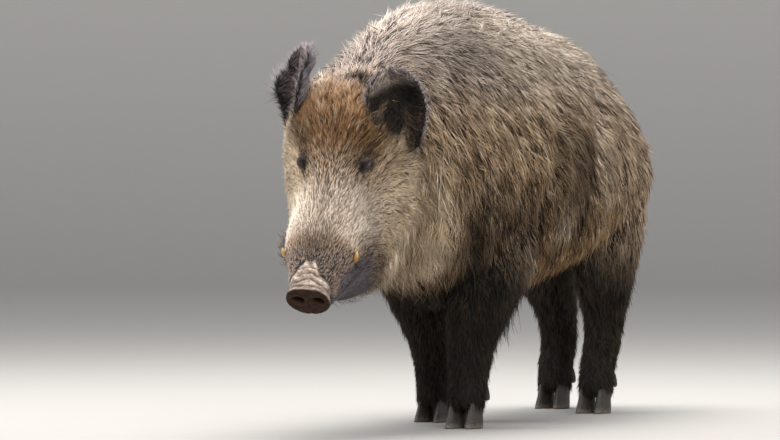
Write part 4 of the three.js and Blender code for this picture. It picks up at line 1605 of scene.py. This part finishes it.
# %% Scatter roots and gather locks
skin_points = vertices_of(skin.data)
skin_normals = normals_of(skin.data)
skin_triangles = triangles_of(skin.data)
corner_points = skin_points[skin_triangles]
sides = corner_points[:, 1:] - corner_points[:, :1]
areas = np.linalg.norm(np.cross(sides[:, 0], sides[:, 1]), axis=1) / 2
FEWER = 1.0


def scatter(count, plenty):
    """Roots for count tufts where plenty, given at each vertex, says: a triangle and its corners' shares."""
    chance = np.cumsum(areas * plenty[skin_triangles].mean(1))
    steps = (np.arange(count) + CHANCE.random(count)) / count * chance[-1]
    triangle = np.minimum(np.searchsorted(chance, steps), len(chance) - 1)
    root, turn = np.sqrt(CHANCE.random(count)), CHANCE.random(count)
    return triangle, np.stack([1 - root, root * (1 - turn), root * turn], axis=1)


def guides_for(roots, way, sharing):
    """For each root, the number of its guide: the nearest few, where distance along the lie counts little."""
    picked = CHANCE.permutation(len(roots))[: max(8, int(len(roots) / sharing))]
    tree = KDTree(len(picked))
    for number in picked:
        tree.insert(roots[number], number)
    tree.balance()
    near = np.array([[found[1] for found in tree.find_n(root, 5)] for root in roots])
    away = roots[near] - roots[:, None]
    along = (away * way[:, None]).sum(2)
    distance = (away**2).sum(2) - 0.9 * along**2
    return near[np.arange(len(roots)), distance.argmin(1)]


# %% How tufts differ
WIDEST = cad_box[1][0] + 20 * MM  # no tip stands further out to the side


def clear_of_eyes(roots):
    """Which roots are outside the openings between the lids."""
    clear = np.ones(len(roots), bool)
    for side in EYES:
        out, corner, brow = eye_ways(side)
        away = roots - EYES[side]
        inside = opening_at(away @ corner, away @ brow) > -4.5 * MM
        clear &= ~(inside & (np.abs(away @ out) < 0.025))
    return clear


def unruly(coat, guide):
    """Varies each tuft's length, lift and width, partly together with its lock."""
    spread = CHANCE.normal(0, 1, (5, len(guide)))
    return coat | {
        "length": coat["length"] * np.clip(1 + 0.16 * spread[0] + 0.16 * spread[1][guide], 0.5, 1.45),
        "lift": np.clip(coat["lift"] + 3.5 * spread[2] + 3.5 * spread[3][guide], 4, 60),
        "width": coat["width"] * np.clip(1 + 0.2 * spread[4], 0.6, 1.5),
    }


def swung(way, facing, roots, guide, clump):
    """Turns the lie aside a little: tuft by tuft, lock by lock and clump by clump, and most in the curls."""
    count = len(roots)
    swing = 0.08 * CHANCE.normal(0, 1, count) + 0.13 * CHANCE.normal(0, 1, count)[guide]
    swing += 0.10 * CHANCE.normal(0, 1, count)[clump]
    swing += 0.9 * curl_at(roots) * CHANCE.normal(0, 1, count)[guide]
    across = np.cross(way, facing)
    return unit(way * np.cos(swing)[:, None] + across * np.sin(swing)[:, None])


def trimmed(corners, roots):
    """Shortens the tufts that stand too far out to the side."""
    wide = np.abs(corners[:, :, 0]).max(1) > WIDEST
    corners[wide] = roots[wide][:, None] + (corners[wide] - roots[wide][:, None]) * 0.55
    return corners


def toned(roots, on_head, sandy, guide, clump, contrast, lighter):
    """How light each tuft is, round about 0.5: even on muzzle and crown, lighter on crest and cheeks."""
    count = len(roots)
    tone = 0.42 * CHANCE.random(count) + 0.42 * CHANCE.random(count)[guide]
    tone += 0.16 * CHANCE.random(count)[clump]
    _, hy, hz = head_place(roots).T
    high = fade(roots[:, 2], 0.72, 0.84)
    crown = on_head * fade(hy, -0.01, -0.07) * fade(hz, -0.09, -0.04)
    calm = on_head * np.maximum(0.65 * fade(hy, 0.13, 0.19), 0.6 * fade(hy, 0.0, -0.09))
    middle = 0.5 + lighter - 0.13 * crown + 0.06 * high + 0.13 * sandy
    return middle + (tone - 0.5) * contrast * (1 - np.maximum(calm, 0.35 * high))


print("tips reach", round(WIDEST / MM), "mm to each side at most")


# %% Grow one region
def grow(region, count, plenty, bent, lock, pull, pieces, finish, contrast=1.0, lighter=0.0,
         change=None, paint=None):
    """Grows a region's coat. lock is how many tufts share a guide; pieces(roots) names each root's piece."""
    triangle, shares = scatter(int(count * FEWER), plenty)
    held = skin_triangles[triangle]
    clear = clear_of_eyes((skin_points[held] * shares[:, :, None]).sum(1))
    held, shares = held[clear], shares[clear]
    count = len(held)

    def at_roots(values):
        """What each root takes from the corners of its triangle."""
        return (values[held] * (shares if values.ndim == 1 else shares[:, :, None])).sum(1)

    roots, facing = at_roots(skin_points), unit(at_roots(skin_normals))
    own = {group: at_roots(values) for group, values in part.items()}
    coat = coat_at(roots, facing, own) | {key: np.full(count, v) for key, v in (change or {}).items()}
    way = lie_at(roots, facing, own)
    guide, clump = guides_for(roots, way, lock), guides_for(roots, way, lock * 9)
    coat = unruly(coat, guide)
    way = swung(way, facing, roots, guide, clump)
    nature = {
        "guide": guide,
        "pull": np.clip(pull + 0.2 * CHANCE.normal(0, 1, count), 0, 0.9),
        "wave": 0.04 * CHANCE.normal(0, 1, count) + 0.12 * CHANCE.normal(0, 1, count)[guide],
    }
    corners = trimmed(tuft_points(roots, facing, way, coat, nature, bent), roots)
    tone = toned(roots, own["head"], at_roots(marks["fawn"]), guide, clump, contrast, lighter)
    carried = {"tone": tone} | {name: at_roots(values) for name, values in marks.items()}
    carried["pale"] *= 0.4 + 0.8 * CHANCE.random(count)[guide]
    carried |= {name: np.full(count, value) for name, value in (paint or {}).items()}
    names = pieces(roots)
    for name in sorted(set(names)):
        mine = names == name
        mesh = tuft_mesh(name, corners[mine], {key: v[mine] for key, v in carried.items()}, bent)
        lay_patches(mesh, roots[mine], bent)
        piece = put(name, mesh, finish)
        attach(piece, "root")
        print(name, int(mine.sum()), "tufts", len(mesh.polygons), "faces")
    print(region, "has", count, "tufts")


# %% Which part of the skin each region covers
hx, hy, hz = head_place(skin_points).T
furred = (1 - 0.97 * marks["bare"]) * (1 - 0.9 * fade(hy, 0.286, 0.292) * part["head"])
lip_gap = bell(hz - mouth_line(hy), 0, 3.5 * MM) * fade(hy, 0.10, 0.13) * part["head"]
furred = furred * (1 - 0.95 * lip_gap)
furred = furred * (1 - 0.5 * tear_at(skin_points, 1.2))
hollow_of_ear, _ = hollow_at(skin_points, skin_normals)
head_share, ear_share, tail_share = part["head"], part["ear"], part["tail"]
leg_share = part["leg"] * fade(skin_points[:, 2], 0.50, 0.34)
long_head = np.clip(fade(hz, -0.045, -0.09) * fade(hy, 0.14, 0.06) + fade(hy, -0.03, -0.09), 0, 1)
whiskers = bell(hy, 0.175, 0.025) * bell(hz, -0.055, 0.02) * fade(np.abs(hx), 0.05, 0.065)
whiskers += 0.35 * bell(hy, 0.17, 0.04) * fade(hz, -0.10, -0.12)
for side in EYES:
    brow_at = EYES[side] + eye_ways(side)[2] * 0.02
    whiskers += 0.7 * bell(np.linalg.norm(skin_points - brow_at, axis=1), 0, 0.011)
body_share = np.clip(1 - head_share - ear_share - tail_share - leg_share, 0, 1)
rules = coat_at(skin_points, skin_normals, part)


def by_place(stem, cuts, axis=1, sides=True):
    """Names pieces by where roots lie between cuts along an axis, and by side."""
    def name(roots):
        level = np.searchsorted(cuts, roots[:, axis])
        left = np.where(roots[:, 0] > SPINE_X, "left", "right") if sides else np.full(len(roots), "both")
        return np.array([f"{stem[k]}_{side}" if sides else stem[k] for k, side in zip(level, left)])
    return name


# %% Grow the coat
grow("body", 132000, body_share * rules["plenty"], True, 4.5, 0.75,
     by_place(["coat_neck", "coat_shoulder", "coat_flank", "coat_rump"], [-0.24, 0.05, 0.38]),
     body_coat, contrast=1.25, lighter=0.03)
grow("cheeks", 35000, head_share * long_head * furred, True, 4.5, 0.7,
     by_place(["coat_cheek"], []), body_coat, contrast=1.5, lighter=0.20)
grow("face", 50000, head_share * (1 - long_head) * furred, False, 5.0, 0.6,
     by_place(["coat_face"], []), body_coat, contrast=0.85, lighter=0.05)
grow("legs", 42000, leg_share * (1 + 0.6 * fade(skin_points[:, 2], 0.2, 0.1)), False, 4.0, 0.3,
     by_place(["coat_forelegs", "coat_hindlegs"], [0.26], sides=False), leg_coat,
     contrast=1.4, lighter=0.12)
grow("ears", 22000, ear_share * (1 - 0.5 * hollow_of_ear), False, 4.0, 0.3,
     by_place(["coat_ear"], []), leg_coat)
grow("tail", 4000, tail_share * rules["plenty"], True, 4.0, 0.5,
     by_place(["coat_tail"], [], sides=False), body_coat)
grow("whiskers", 500, head_share * whiskers, True, 2.0, 0.1,
     by_place(["coat_whiskers"], [], sides=False), body_coat,
     change={"length": 0.034, "lift": 44, "droop": 24, "width": 0.9}, paint={"pale": 0, "dark": 0.8})
